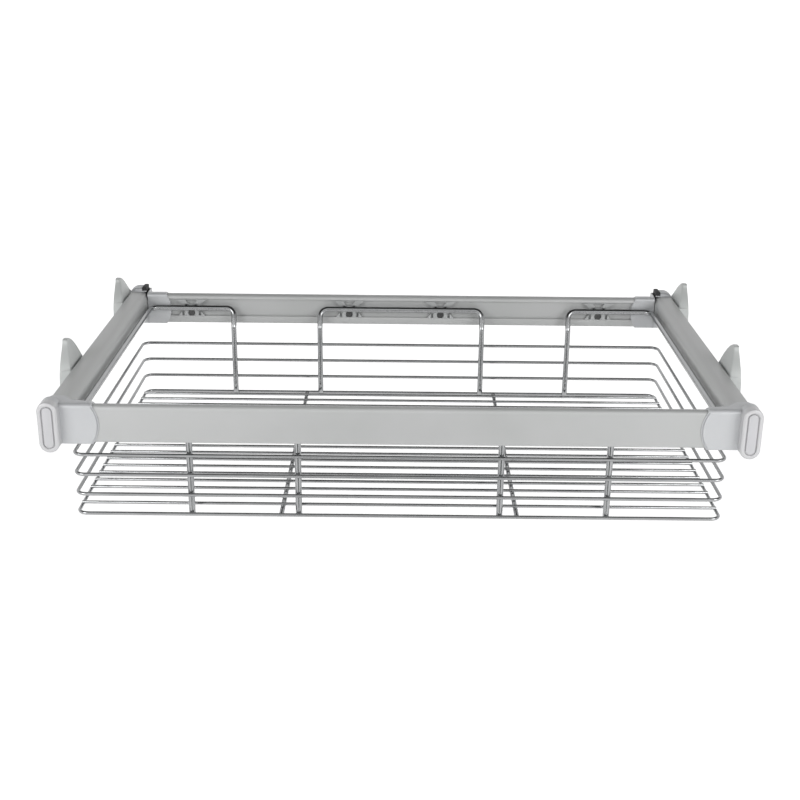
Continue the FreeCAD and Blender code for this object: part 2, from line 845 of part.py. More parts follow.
def rear_connector():
    # A sleeve for the rear bar, a block under the side bar and a saddle over its end.
    body = new_body("rear_connector_right")
    gap = size.steel_gap
    skin = cover_skin
    sleeve_x = side_inner - size.connector_arm
    sleeve_front = rear_bar_face - skin
    cheek_x = side_inner - skin
    low = rear_low - skin
    high = rear_high + skin
    web_x = cavity_end - gap
    bevel = size.connector_chamfer
    step_z = bar_top - size.side_chamber_height - gap
    sleeve = new_sketch(body, "XZ_Plane", -sleeve_front)
    points = [
        (sleeve_x, low + bevel),
        (sleeve_x + bevel, low),
        (web_x, low),
        (web_x, step_z),
        (side_inner - gap, step_z),
        (side_inner - gap, high),
        (sleeve_x + bevel, high),
        (sleeve_x, high - bevel),
    ]
    draw(sleeve, points)
    pad(body, sleeve, size.bar_depth + skin * 2, backwards=True)
    socket = new_sketch(body, "YZ_Plane", rear_bar_half + size.end_gap)
    corners = box_corners(rear_bar_face - gap, rear_bar_back + gap, rear_low - gap, rear_high + gap)
    draw(socket, corners)
    pocket(body, socket, size.connector_arm * 2)
    # The block under the side bar and the cheek beside it reach the end of the frame.
    block = new_sketch(body, "XZ_Plane", -(rear_bar_back + skin))
    draw(block, box_corners(cheek_x, web_x, low, step_z))
    pad(body, block, rear_end_y - rear_bar_back - skin, backwards=True)
    cheek = new_sketch(body, "YZ_Plane", cheek_x)
    draw(cheek, box_corners(sleeve_front, rear_end_y, low, plate_high))
    pad(body, cheek, size.cover_wall)
    plate = new_sketch(body, "XZ_Plane", -rear_end_y)
    draw(plate, box_corners(cheek_x, web_x, low, plate_high))
    pad(body, plate, size.slide_rear_inset - gap)
    # The saddle over the end of the side bar rises to a hump beside the bumper.
    saddle_y = rear_end_y - size.hump_length
    outer_x = side_outer + size.cover_wall
    hump_x = bumper_end_x + gap
    saddle = new_sketch(body, "XZ_Plane", -saddle_y)
    points = [
        (cheek_x, plate_low),
        (outer_x, plate_low),
        (outer_x, plate_high),
        (outer_x - size.hump_shoulder, hump_z),
        (hump_x, hump_z),
        (hump_x, plate_high),
        (cheek_x, plate_high),
    ]
    draw(saddle, points)
    pad(body, saddle, size.hump_length, backwards=True)
    # Both ends of the hump are rounded down to the plate.
    ends = new_sketch(body, "YZ_Plane", outer_x + size.cut_past)
    rise = hump_z - plate_high
    above = hump_z + size.cut_past
    points = [
        (saddle_y, plate_high),
        (saddle_y + rise, hump_z),
        (saddle_y + rise, above),
        (saddle_y - size.cut_past, above),
        (saddle_y - size.cut_past, plate_high),
    ]
    draw(ends, points, {0: (saddle_y + rise, plate_high)})
    points = [
        (rear_end_y - rise, hump_z),
        (rear_end_y, plate_high),
        (rear_end_y + size.cut_past, plate_high),
        (rear_end_y + size.cut_past, above),
        (rear_end_y - rise, above),
    ]
    draw(ends, points, {0: (rear_end_y - rise, plate_high)})
    pocket(body, ends, size.side_bar_width * 2)
    add_pair(body, "rear_connector")


def rear_bumper():
    # A rubber block in the saddle, against the back of the cabinet.
    body = new_body("rear_bumper_right")
    outline = new_sketch(body, "YZ_Plane", bumper_start_x)
    points = box_corners(rear_end_y - size.bumper_length, rear_end_y, plate_high + size.seat_gap,
                         hump_z + size.bumper_above_hump)
    draw(outline, *rounded(points, {2: size.bumper_edge, 3: size.bumper_edge}))
    pad(body, outline, size.bumper_width)
    add_pair(body, "rear_bumper")


rear_connector()
rear_bumper()


# Clips that hold the hanger rods to the cross bars, and their screws

def clip_front(face, inwards):
    # The face of a clip's base, just behind the rod that the clip holds.
    return face + (size.hanger_stand_off - size.steel_gap) * inwards


def wire_clip(label, place, face, inwards):
    # The base sits in the channel; two hooks reach over the rod on both sides of the screw.
    body = new_body(label)
    forwards = inwards < 0
    front = clip_front(face, inwards)
    base_back = face - size.channel_depth * inwards
    half = size.clip_width / 2
    waist = size.clip_waist / 2
    mouth = size.channel_mouth / 2 - size.clip_slack
    waist_high = run_z + size.hanger_wire / 4
    waist_low = run_z - size.hanger_wire / 2
    base = new_sketch(body, "XZ_Plane", -(base_back + size.seat_gap * inwards))
    points = [
        (place - half, channel_middle + mouth),
        (place - waist, waist_high),
        (place - waist, waist_low),
        (place - half, channel_middle - mouth),
        (place + half, channel_middle - mouth),
        (place + waist, waist_low),
        (place + waist, waist_high),
        (place + half, channel_middle + mouth),
    ]
    draw(base, points)
    pad(body, base, (front - base_back) * inwards - size.seat_gap, backwards=not forwards)
    # Each hook is half an octagon round the rod, open towards the bar.
    run_y = face + run_gap * inwards
    inner = size.hanger_wire / 2 + size.steel_gap
    outer = inner + size.clip_hook_wall
    slant = math.tan(half_octagon_turn)
    root = front - size.cut_past * inwards
    for side in (-1, 1):
        hook = new_sketch(body, "YZ_Plane", place + size.clip_hook_place * side)
        points = [
            (root, run_z + outer),
            (run_y + outer * slant * inwards, run_z + outer),
            (run_y + outer * inwards, run_z + outer * slant),
            (run_y + outer * inwards, run_z - outer * slant),
            (run_y + outer * slant * inwards, run_z - outer),
            (run_y, run_z - outer),
            (run_y, run_z - inner),
            (run_y + inner * slant * inwards, run_z - inner),
            (run_y + inner * inwards, run_z - inner * slant),
            (run_y + inner * inwards, run_z + inner * slant),
            (run_y + inner * slant * inwards, run_z + inner),
            (root, run_z + inner),
        ]
        draw(hook, points)
        pad(body, hook, size.clip_hook_width, both_ways=True)
    bore = new_sketch(body, "XZ_Plane", -front)
    draw_hole(bore, place, clip_screw_z, size.clip_screw_head + size.clip_bore_gap)
    pocket(body, bore, size.clip_bore_depth, backwards=not forwards)
    shank = new_sketch(body, "XZ_Plane", -front)
    draw_hole(shank, place, clip_screw_z, clip_pilot)
    pocket(body, shank, size.channel_depth * 2, backwards=not forwards)
    nodes.append(body)


def clip_screw(name, place, face, inwards):
    # A screw whose head sits in the clip's bore.
    seat = clip_front(face, inwards) - (size.clip_bore_depth - size.seat_gap) * inwards
    tip = face - (size.channel_depth + size.bar_wall) * inwards
    direction = FreeCAD.Vector(0, inwards, 0)
    head = rod(name + "_head", size.clip_screw_head / 2, size.clip_screw_head_height,
               (place, seat, clip_screw_z), direction)
    shank = rod(name + "_shank", size.clip_screw_shank / 2, (seat - tip) * inwards + size.cut_past,
                (place, tip, clip_screw_z), direction)
    whole = doc.addObject("Part::Fuse", name)
    whole.Base = head
    whole.Tool = shank
    return whole


clip_names = ["outer_left", "inner_left", "inner_right", "outer_right"]
screws = []
for bar_name, face, inwards in (("front", front_bar_back, 1), ("rear", rear_bar_face, -1)):
    for clip_name, place in zip(clip_names, clip_places):
        wire_clip("%s_clip_%s" % (bar_name, clip_name), place, face, inwards)
        screws.append(clip_screw("%s_%s_screw" % (bar_name, clip_name), place, face, inwards))
nodes.append(group("clip_screws", screws))


# Slides: outer, middle and inner rail, two ball cages and their balls

# Places across the slide's thickness, as shares of it from the inner rail's web.
outer_lip_share = 0.2
middle_flange_share = 0.24
inner_race_share = 0.41
outer_race_share = 0.54
inner_flange_share = 0.59

half_height = size.slide_height / 2
outer_race = half_height - size.rail_steel
middle_outside = outer_race - size.race_gap
middle_inside = middle_outside - size.rail_steel
inner_outside = middle_inside - size.race_gap
inner_inside = inner_outside - size.rail_steel
outer_ball_z = outer_race - size.race_gap / 2
inner_ball_z = middle_inside - size.race_gap / 2
outer_web = slide_outer - size.rail_steel
middle_web = outer_web - size.cage_steel - size.cage_gap * 2
outer_ball_x = rail_face + size.slide_thickness * outer_race_share
inner_ball_x = rail_face + size.slide_thickness * inner_race_share
inner_flange_end = rail_face + size.slide_thickness * inner_flange_share
groove = size.ball_size + size.ball_clearance * 2


def channel_points(open_x, web_x, web_inside, outside, inside):
    # A C section about the slide's middle height, open towards the side given first.
    return [
        (open_x, bar_middle - outside),
        (web_x, bar_middle - outside),
        (web_x, bar_middle + outside),
        (open_x, bar_middle + outside),
        (open_x, bar_middle + inside),
        (web_inside, bar_middle + inside),
        (web_inside, bar_middle - inside),
        (open_x, bar_middle - inside),
    ]


def rail(label, points, length, races):
    # A folded steel rail with a ball groove pressed along each flange.
    body = new_body(label)
    section = new_sketch(body, "XZ_Plane")
    draw(section, points)
    pad(body, section, length, backwards=True)
    for ball_x, ball_z in races:
        for side in (-1, 1):
            race = new_sketch(body, "XZ_Plane")
            draw_circle(race, ball_x, bar_middle + ball_z * side, groove)
            pocket(body, race, length)
    bind(body, ".Placement.Base.y", slide_front_y)
    return body


def bracket_places():
    return [front_fin_y + size.bracket_hole_place, rear_fin_y + size.bracket_hole_place]


def outer_rail():
    lip_x = rail_face + size.slide_thickness * outer_lip_share
    points = channel_points(lip_x, slide_outer, outer_web, half_height, outer_race)
    lip_end = outer_race - size.rail_lip
    thick = lip_x + size.rail_steel
    upper = [(lip_x, bar_middle + lip_end), (thick, bar_middle + lip_end), (thick, bar_middle + outer_race)]
    lower = [(thick, bar_middle - outer_race), (thick, bar_middle - lip_end), (lip_x, bar_middle - lip_end)]
    points = points[:4] + upper + points[5:7] + lower
    body = rail("outer_rail_right", points, size.slide_length, [(outer_ball_x, outer_ball_z)])
    holes = new_sketch(body, "YZ_Plane", outer_web - size.cut_past)
    for place in bracket_places():
        middle_y = place - slide_front_y
        for side in (-1, 1):
            draw_hole(holes, middle_y + size.wall_screw_spacing / 2 * side, bar_middle, size.wall_screw_access)
            draw_hole(holes, middle_y, bar_middle + size.rivet_spacing / 2 * side,
                      size.rivet_size + size.steel_gap)
    pocket(body, holes, size.rail_steel + size.cut_past * 2, backwards=True)
    add_pair(body, "outer_rail")


def middle_rail():
    open_x = rail_face + size.slide_thickness * middle_flange_share
    points = channel_points(open_x, middle_web, middle_web - size.rail_steel, middle_outside, middle_inside)
    races = [(outer_ball_x, outer_ball_z), (inner_ball_x, inner_ball_z)]
    add_pair(rail("middle_rail_right", points, moving_rail_length, races), "middle_rail")


def inner_rail():
    points = channel_points(inner_flange_end, rail_face, rail_face + size.rail_steel,
                            inner_outside, inner_inside)
    body = rail("inner_rail_right", points, moving_rail_length, [(inner_ball_x, inner_ball_z)])
    holes = new_sketch(body, "YZ_Plane", rail_face - size.cut_past)
    for place in rail_screw_places():
        draw_hole(holes, place - slide_front_y, bar_middle, size.rail_screw_shank + size.steel_gap)
    pocket(body, holes, size.rail_steel + size.cut_past * 2, backwards=True)
    add_pair(body, "inner_rail")


row_start_y = ball_middle_y - size.ball_pitch * (size.ball_row_count - 1) / 2


def ball_cage(name, open_x, web_x, ball_x, ball_z):
    # A thin steel channel between two rails, with a pocket for each ball in both flanges.
    label = name + "_ball_cage"
    body = new_body(label + "_right")
    section = new_sketch(body, "XZ_Plane")
    outside = ball_z + size.cage_steel / 2
    inside = ball_z - size.cage_steel / 2
    draw(section, channel_points(open_x, web_x, web_x - size.cage_steel, outside, inside))
    pad(body, section, size.cage_length, backwards=True)
    start_y = ball_middle_y - size.cage_length / 2
    bind(body, ".Placement.Base.y", start_y)
    pockets = new_sketch(body, "XY_Plane", bar_middle)
    for number in range(int(float(size.ball_row_count))):
        place = row_start_y + size.ball_pitch * number
        draw_hole(pockets, ball_x, place - start_y, size.ball_size + size.steel_gap * 2)
    pocket(body, pockets, size.slide_height, both_ways=True)
    add_pair(body, label)


def ball(name, place):
    # A ball in three bands of flat faces: a short prism with both its rims cut off.
    half_band = size.ball_size / 2 * math.cos(half_octagon_turn)
    cut = float(size.ball_size) / 4
    x, y, z = place
    prism = rod(name + "_prism", half_band, half_band * 2, (x, y, z - half_band), upwards, ball_sides)
    prism.recompute()
    rims = edges_of(prism.Shape, lambda middle: not near(middle.z, z))
    faceted = doc.addObject("Part::Chamfer", name)
    faceted.Base = prism
    faceted.Edges = [(int(rim[4:]), cut, cut) for rim in rims]
    return faceted


def balls(name, ball_x, ball_z):
    members = []
    for number in range(int(float(size.ball_row_count))):
        place = row_start_y + size.ball_pitch * number
        for side in (-1, 1):
            members.append(ball("%s_ball_%d_%d" % (name, number, side + 1),
                                (ball_x, place, bar_middle + ball_z * side)))
    label = name + "_balls"
    add_pair(group(label + "_right", members), label)


def closing_buffer():
    # A plastic block in the rear end of the outer rail that the moving rails close against.
    body = new_body("closing_buffer_right")
    section = new_sketch(body, "XZ_Plane")
    points = box_corners(rail_face + size.buffer_edge, outer_web - size.seat_gap, bar_middle - inner_outside,
                         bar_middle + inner_outside)
    draw(section, *rounded(points, {0: size.buffer_edge, 3: size.buffer_edge}))
    pad(body, section, size.buffer_length, backwards=True)
    bind(body, ".Placement.Base.y", slide_rear_y - size.buffer_length)
    add_pair(body, "closing_buffer")


def rail_screws():
    # Screws that hold the inner rails to the side bars.
    members = []
    seat = rail_face + size.rail_steel + size.seat_gap
    tip = seat + size.rail_screw_head_height - size.rail_screw_length
    for side, side_name in ((-1, "left"), (1, "right")):
        outwards = FreeCAD.Vector(side, 0, 0)
        for number, place in enumerate(rail_screw_places()):
            name = "rail_screw_%s_%d" % (side_name, number)
            whole = doc.addObject("Part::Fuse", name)
            whole.Base = rod(name + "_head", size.rail_screw_head / 2, size.rail_screw_head_height,
                             (seat * side, place, bar_middle), outwards)
            whole.Tool = rod(name + "_shank", size.rail_screw_shank / 2, size.rail_screw_length,
                             (tip * side, place, bar_middle), outwards)
            members.append(whole)
    nodes.append(group("rail_screws", members))


outer_rail()
middle_rail()
inner_rail()
ball_cage("outer", outer_ball_x - size.ball_size / 2 - size.cage_steel, outer_web - size.cage_gap,
          outer_ball_x, outer_ball_z)
ball_cage("inner", inner_ball_x - size.ball_size / 2 - size.cage_steel / 2,
          inner_flange_end + size.buffer_gap + size.cage_steel, inner_ball_x, inner_ball_z)
balls("outer", outer_ball_x, outer_ball_z)
balls("inner", inner_ball_x, inner_ball_z)
closing_buffer()
rail_screws()


# Fin shaped wall brackets and the rivets that hold the outer rails to them

# Places along a fin, as shares of its length.
tip_front_share = 0.37
tip_middle_share = 0.46
tip_back_share = 0.55
back_curve_share = -0.45
front_curve_share = 1.35


def wall_bracket(name, fin_y):
    # A moulded block behind the slide that rises above the side bar as a curved fin.
    label = name + "_bracket"
    body = new_body(label + "_right")
    side_view = new_sketch(body, "YZ_Plane", wall_x)
    low = bar_bottom + size.bracket_low_rise
    tip_z = bar_top + size.fin_rise
    back_y = fin_y + size.fin_length
    points = [
        (fin_y - size.bracket_toe, low),
        (back_y, low),
        (back_y, bar_top - size.fin_back_drop),
        (fin_y + size.fin_length * tip_back_share, tip_z - size.fin_tip_drop),
        (fin_y + size.fin_length * tip_front_share, tip_z - size.fin_tip_drop),
        (fin_y, bar_middle + size.bracket_shoulder),
    ]
    centres = {
        2: (fin_y + size.fin_length * back_curve_share, bar_middle - size.fin_back_drop),
        3: (fin_y + size.fin_length * tip_middle_share, tip_z - size.fin_tip_round),
        4: (fin_y + size.fin_length * front_curve_share, bar_bottom + size.bracket_low_rise),
    }
    draw(side_view, points, centres)
    reach = size.side_bar_outset - size.bracket_slide_gap
    pad(body, side_view, reach, backwards=True)
    # The fin gets thinner towards its tip.
    inner_x = wall_x - reach
    slope_z = bar_top - size.fin_slope_drop
    past_tip = tip_z + size.cut_past
    slope = new_sketch(body, "XZ_Plane", -(fin_y + size.fin_length / 2))
    points = [
        (inner_x - size.cut_past, slope_z),
        (inner_x, slope_z),
        (wall_x - size.fin_tip_thickness, past_tip),
        (inner_x - size.cut_past, past_tip),
    ]
    draw(slope, points)
    pocket(body, slope, size.fin_length * 3, both_ways=True)
    # A raised pad carries the outer rail through the open side of the side bar.
    middle_y = fin_y + size.bracket_hole_place
    foot_half_length = size.fin_length / 2 - size.bracket_foot_margin
    foot_half_height = half_height - size.bracket_foot_inset
    foot = new_sketch(body, "YZ_Plane", slide_outer)
    draw(foot, box_corners(middle_y - foot_half_length, middle_y + foot_half_length,
                           bar_middle - foot_half_height, bar_middle + foot_half_height))
    pad(body, foot, wall_x - slide_outer - size.bracket_foot_root)
    holes = new_sketch(body, "YZ_Plane", wall_x)
    for side in (-1, 1):
        draw_circle(holes, middle_y + size.wall_screw_spacing / 2 * side, bar_middle, size.wall_screw_hole)
    pocket(body, holes, wall_x - slide_outer + size.cut_past)
    rivet_holes = new_sketch(body, "YZ_Plane", slide_outer)
    for side in (-1, 1):
        draw_hole(rivet_holes, middle_y, bar_middle + size.rivet_spacing / 2 * side,
                  size.rivet_size + size.steel_gap)
    pocket(body, rivet_holes, size.rivet_depth, backwards=True)
    add_pair(body, label)


def rail_rivets():
    members = []
    length = size.rail_steel + size.rivet_depth - size.end_gap
    for side, side_name in ((-1, "left"), (1, "right")):
        for number, place in enumerate(bracket_places()):
            for level in (-1, 1):
                name = "rivet_%s_%d_%d" % (side_name, number, level + 1)
                height = bar_middle + size.rivet_spacing / 2 * level
                members.append(rod(name, size.rivet_size / 2, length, (outer_web * side, place, height),
                                   FreeCAD.Vector(side, 0, 0)))
    nodes.append(group("rail_rivets", members))


wall_bracket("front", front_fin_y)
wall_bracket("rear", rear_fin_y)
rail_rivets()


# Checks, then one STEP file for each piece

doc.recompute()
for item in doc.Objects:
    if "Invalid" in item.State or "Error" in item.State:
        raise RuntimeError("%s did not build: %s" % (item.Name, item.State))
os.makedirs("parts", exist_ok=True)
whole = FreeCAD.BoundBox()
for node in nodes:
    if node.Shape.isNull() or not node.Shape.isValid():
        raise RuntimeError("%s has no valid shape" % node.Label)
    node.Shape.exportStep("parts/%s.step" % node.Label)
    whole.add(node.Shape.BoundBox)
    print("%-24s %2d solids %10.1f mm3" % (node.Label, len(node.Shape.Solids), node.Shape.Volume))
print("%d pieces, %s" % (len(nodes), whole))
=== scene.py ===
import json
import math
import bmesh
import bpy
from mathutils import Matrix, Vector


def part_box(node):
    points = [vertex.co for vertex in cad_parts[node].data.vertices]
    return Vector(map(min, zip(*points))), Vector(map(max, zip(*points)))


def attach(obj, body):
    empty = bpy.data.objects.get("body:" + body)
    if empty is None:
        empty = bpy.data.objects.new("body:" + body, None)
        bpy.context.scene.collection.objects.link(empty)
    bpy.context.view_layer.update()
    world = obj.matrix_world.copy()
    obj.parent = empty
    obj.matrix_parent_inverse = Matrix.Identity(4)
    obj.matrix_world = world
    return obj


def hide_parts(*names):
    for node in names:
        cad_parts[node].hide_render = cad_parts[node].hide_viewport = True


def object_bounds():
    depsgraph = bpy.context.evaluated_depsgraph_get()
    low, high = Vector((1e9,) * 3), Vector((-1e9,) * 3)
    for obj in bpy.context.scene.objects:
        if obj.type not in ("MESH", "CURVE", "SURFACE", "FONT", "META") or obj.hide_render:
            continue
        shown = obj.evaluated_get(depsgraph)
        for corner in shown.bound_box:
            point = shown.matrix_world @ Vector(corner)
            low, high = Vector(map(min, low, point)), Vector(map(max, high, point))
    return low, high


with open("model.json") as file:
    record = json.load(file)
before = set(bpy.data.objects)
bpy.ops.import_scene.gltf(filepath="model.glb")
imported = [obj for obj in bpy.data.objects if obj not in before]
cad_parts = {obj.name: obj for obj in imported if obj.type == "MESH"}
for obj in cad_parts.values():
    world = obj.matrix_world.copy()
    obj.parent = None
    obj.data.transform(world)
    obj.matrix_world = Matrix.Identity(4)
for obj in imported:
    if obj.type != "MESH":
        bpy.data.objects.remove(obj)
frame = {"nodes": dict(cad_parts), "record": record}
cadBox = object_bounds()
mm = 0.001
up = Vector((0, 0, 1))


# Materials

def newMaterial(name):
    material = bpy.data.materials.new(name)
    material.use_nodes = True
    nodes = material.node_tree.nodes
    shader = nodes["Principled BSDF"]
    return material, nodes, material.node_tree.links, shader


def scaledNoise(nodes, links, scale, detail, stretch=(1, 1, 1)):
    place = nodes.new("ShaderNodeTexCoord")
    mapping = nodes.new("ShaderNodeMapping")
    mapping.inputs["Scale"].default_value = stretch
    noise = nodes.new("ShaderNodeTexNoise")
    noise.inputs["Scale"].default_value = scale
    noise.inputs["Detail"].default_value = detail
    links.new(place.outputs["Object"], mapping.inputs["Vector"])
    links.new(mapping.outputs["Vector"], noise.inputs["Vector"])
    return noise


grains = dict(rampLow=0.3, rampHigh=0.7, driftDetail=3, grainDetail=2, grainDepth=0.1 * mm)


def variedFinish(name, look):
    # A colour that drifts a little, a roughness that drifts with it and a fine grain in the bump.
    material, nodes, links, shader = newMaterial(name)
    drift = scaledNoise(nodes, links, look["driftScale"], grains["driftDetail"])
    ramp = nodes.new("ShaderNodeValToRGB")
    ramp.color_ramp.elements[0].position = grains["rampLow"]
    ramp.color_ramp.elements[1].position = grains["rampHigh"]
    ramp.color_ramp.elements[0].color = (*look["dark"], 1)
    ramp.color_ramp.elements[1].color = (*look["light"], 1)
    links.new(drift.outputs["Fac"], ramp.inputs["Fac"])
    links.new(ramp.outputs["Color"], shader.inputs["Base Color"])
    rough = nodes.new("ShaderNodeMapRange")
    rough.inputs["To Min"].default_value = look["roughness"][0]
    rough.inputs["To Max"].default_value = look["roughness"][1]
    links.new(drift.outputs["Fac"], rough.inputs["Value"])
    links.new(rough.outputs["Result"], shader.inputs["Roughness"])
    stretch = look.get("stretch", (1, 1, 1))
    grain = scaledNoise(nodes, links, look["grainScale"], grains["grainDetail"], stretch)
    bump = nodes.new("ShaderNodeBump")
    bump.inputs["Strength"].default_value = look["grain"]
    bump.inputs["Distance"].default_value = grains["grainDepth"]
    links.new(grain.outputs["Fac"], bump.inputs["Height"])
    links.new(bump.outputs["Normal"], shader.inputs["Normal"])
    shader.inputs["Metallic"].default_value = look["metallic"]
    return material


looks = {
    "chrome_wire": dict(dark=(0.31, 0.315, 0.32), light=(0.36, 0.365, 0.37), roughness=(0.12, 0.2),
                        metallic=1, driftScale=30, grainScale=900, grain=0.05),
    "bar_paint": dict(dark=(0.49, 0.50, 0.495), light=(0.53, 0.535, 0.535), roughness=(0.38, 0.46),
                      metallic=0.25, driftScale=9, grainScale=700, grain=0.12, stretch=(0.05, 1, 1)),
    "cover_plastic": dict(dark=(0.55, 0.56, 0.575), light=(0.59, 0.60, 0.61), roughness=(0.38, 0.46),
                          metallic=0.25, driftScale=14, grainScale=2400, grain=0.15),
    "cap_plastic": dict(dark=(0.60, 0.60, 0.61), light=(0.64, 0.64, 0.65), roughness=(0.34, 0.42),
                        metallic=0.2, driftScale=14, grainScale=2400, grain=0.15),
    "inlay_plastic": dict(dark=(0.57, 0.57, 0.58), light=(0.61, 0.61, 0.63), roughness=(0.42, 0.5),
                          metallic=0.2, driftScale=14, grainScale=2600, grain=0.2),
    "clip_plastic": dict(dark=(0.42, 0.43, 0.43), light=(0.47, 0.48, 0.48), roughness=(0.4, 0.5),
                         metallic=0.15, driftScale=20, grainScale=2600, grain=0.2),
    "black_rubber": dict(dark=(0.012, 0.012, 0.013), light=(0.03, 0.03, 0.032), roughness=(0.6, 0.75),
                         metallic=0, driftScale=60, grainScale=3000, grain=0.3),
    "slide_steel": dict(dark=(0.50, 0.51, 0.52), light=(0.58, 0.59, 0.60), roughness=(0.26, 0.36),
                        metallic=1, driftScale=18, grainScale=1200, grain=0.12, stretch=(1, 0.04, 1)),
    "cage_steel": dict(dark=(0.42, 0.42, 0.43), light=(0.5, 0.5, 0.51), roughness=(0.3, 0.4),
                       metallic=1, driftScale=20, grainScale=1200, grain=0.1),
    "ball_steel": dict(dark=(0.66, 0.66, 0.67), light=(0.72, 0.72, 0.73), roughness=(0.06, 0.1),
                       metallic=1, driftScale=20, grainScale=1200, grain=0.02),
    "buffer_plastic": dict(dark=(0.02, 0.02, 0.02), light=(0.035, 0.035, 0.036), roughness=(0.5, 0.6),
                           metallic=0, driftScale=40, grainScale=2600, grain=0.2),
    "bracket_plastic": dict(dark=(0.56, 0.58, 0.57), light=(0.62, 0.64, 0.63), roughness=(0.35, 0.45),
                            metallic=0.1, driftScale=14, grainScale=2400, grain=0.15),
    # screw_steel is near black: painted shade that darkens the screw heads in the clips' bores.
    "screw_steel": dict(dark=(0.09, 0.09, 0.09), light=(0.14, 0.14, 0.14), roughness=(0.3, 0.4),
                        metallic=1, driftScale=60, grainScale=1500, grain=0.1),
}
finishes = {slot: variedFinish(slot, look) for slot, look in looks.items()}
print("finishes made:", len(finishes))

slotOfNode = {entry["node"]: entry["material_slot"] for entry in frame["record"]["subparts"]}
for name, node in frame["nodes"].items():
    node.data.materials.clear()
    node.data.materials.append(finishes[slotOfNode[name]])


# Places in the frame, in metres

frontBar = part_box("front_bar")
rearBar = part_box("rear_bar")
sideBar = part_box("side_bar_right")
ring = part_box("ring_wire_1")
barBottom = frontBar[0].z
barTop = frontBar[1].z
barMiddle = (barBottom + barTop) / 2
faceY = frontBar[0].y
frontBack = frontBar[1].y
rearFace = rearBar[0].y
rearBack = rearBar[1].y
sideInner = sideBar[0].x
sideOuter = sideBar[1].x
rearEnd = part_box("rear_connector_right")[1].y
wallX = cadBox[1].x
overMiddle = dict(run=3 * mm, channel=1.8 * mm)  # hangers and clip channel, above the bars' middle
runZ = barMiddle + overMiddle["run"]
channelMiddle = barMiddle + overMiddle["channel"]
tiny = 0.02 * mm
smoothAngle = math.radians(32)


# Modelling helpers

def startAlone(piece):
    bpy.ops.object.select_all(action="DESELECT")
    piece.select_set(True)
    bpy.context.view_layer.objects.active = piece


def editPiece(piece):
    startAlone(piece)
    bpy.ops.object.mode_set(mode="EDIT")


def editVerts():
    # Edit mode with every vertex selected, whatever kind was picked last.
    bpy.ops.object.mode_set(mode="EDIT")
    bpy.ops.mesh.select_mode(type="VERT")
    bpy.ops.mesh.select_all(action="SELECT")


def leaveEdit():
    if bpy.context.object.mode == "EDIT":
        bpy.ops.object.mode_set(mode="OBJECT")
    return bpy.context.object


def bakePlace():
    bpy.ops.object.transform_apply(location=True, rotation=True, scale=True)
    return bpy.context.object


def pick(kind, test):
    # Selects the vertices, edges or faces that pass the test, and nothing else.
    mesh = bmesh.from_edit_mesh(bpy.context.object.data)
    bpy.ops.mesh.select_mode(type={"verts": "VERT", "edges": "EDGE", "faces": "FACE"}[kind])
    bpy.ops.mesh.select_all(action="DESELECT")
    for item in getattr(mesh, kind):
        if test(item):
            item.select_set(True)
    mesh.select_flush_mode()
    bmesh.update_edit_mesh(bpy.context.object.data)


def near(value, target):
    return abs(value - target) < tiny


def middleOf(edge):
    return (edge.verts[0].co + edge.verts[1].co) / 2


def onLevel(edge, axis, level):
    # Whether both ends of the edge lie on the plane across x, y or z.
    return all(near(getattr(vert.co, axis), level) for vert in edge.verts)


def inPlane(axis, level, pairs):
    # Points of an outline that lies across X, Y or Z.
    places = {"X": lambda a, b: (level, a, b), "Y": lambda a, b: (a, level, b),
              "Z": lambda a, b: (a, b, level)}
    return [Vector(places[axis](*pair)) for pair in pairs]


def turnFacesOut():
    bpy.ops.mesh.select_all(action="SELECT")
    bpy.ops.mesh.normals_make_consistent(inside=False)


def mergeDoubles(reach=tiny):
    bpy.ops.mesh.select_all(action="SELECT")
    bpy.ops.mesh.remove_doubles(threshold=reach)
    bpy.ops.mesh.select_all(action="SELECT")


def roundSelected(reach, steps, kind="EDGES"):
    bpy.ops.mesh.bevel(offset=reach, segments=steps, affect=kind, profile=0.5)


def bevelEdges(test, reach, steps):
    pick("edges", test)
    roundSelected(reach, steps)


def sheet(middle, width, height, turn=(0, 0, 0)):
    # A flat rectangle at its size and place; stays in edit mode, selected all over.
    bpy.ops.object.select_all(action="DESELECT")
    bpy.ops.mesh.primitive_plane_add(size=1, location=middle, rotation=turn)
    bpy.context.object.scale = (width, height, 1)
    bakePlace()
    editVerts()


def drawPath(points):
    # One vertex, extruded from point to point; the chain of edges stays in edit mode.
    sheet(points[0], mm, mm)
    bpy.ops.mesh.merge(type="CENTER")
    for before, after in zip(points, points[1:]):
        bpy.ops.mesh.extrude_region_move(TRANSFORM_OT_translate={"value": after - before})


def roundPoint(point, reach, steps):
    pick("verts", lambda vert: (vert.co - point).length < tiny)
    roundSelected(reach, steps, "VERTICES")


def outlinePrism(points, along, rounds=()):
    # An outline filled, rounded at the numbered corners and extruded; stays in edit mode.
    drawPath(points + points[:1])
    mergeDoubles()
    bpy.ops.mesh.edge_face_add()
    for number, reach, steps in rounds:
        roundPoint(points[number], reach, steps)
    bpy.ops.mesh.select_all(action="SELECT")
    bpy.ops.mesh.extrude_region_move(TRANSFORM_OT_translate={"value": Vector(along)})
    turnFacesOut()


def box(low, high):
    low, high = Vector(low), Vector(high)
    bpy.ops.object.select_all(action="DESELECT")
    bpy.ops.mesh.primitive_cube_add(size=1, location=(low + high) / 2)
    bpy.context.object.scale = high - low
    return bakePlace()


def drum(middle, radius, length, axis, sides=32):
    turns = {"X": (0, math.pi / 2, 0), "Y": (math.pi / 2, 0, 0), "Z": (0, 0, 0)}
    bpy.ops.object.select_all(action="DESELECT")
    bpy.ops.mesh.primitive_cylinder_add(vertices=sides, radius=radius, depth=length, location=middle,
                                        rotation=turns[axis])
    return bakePlace()


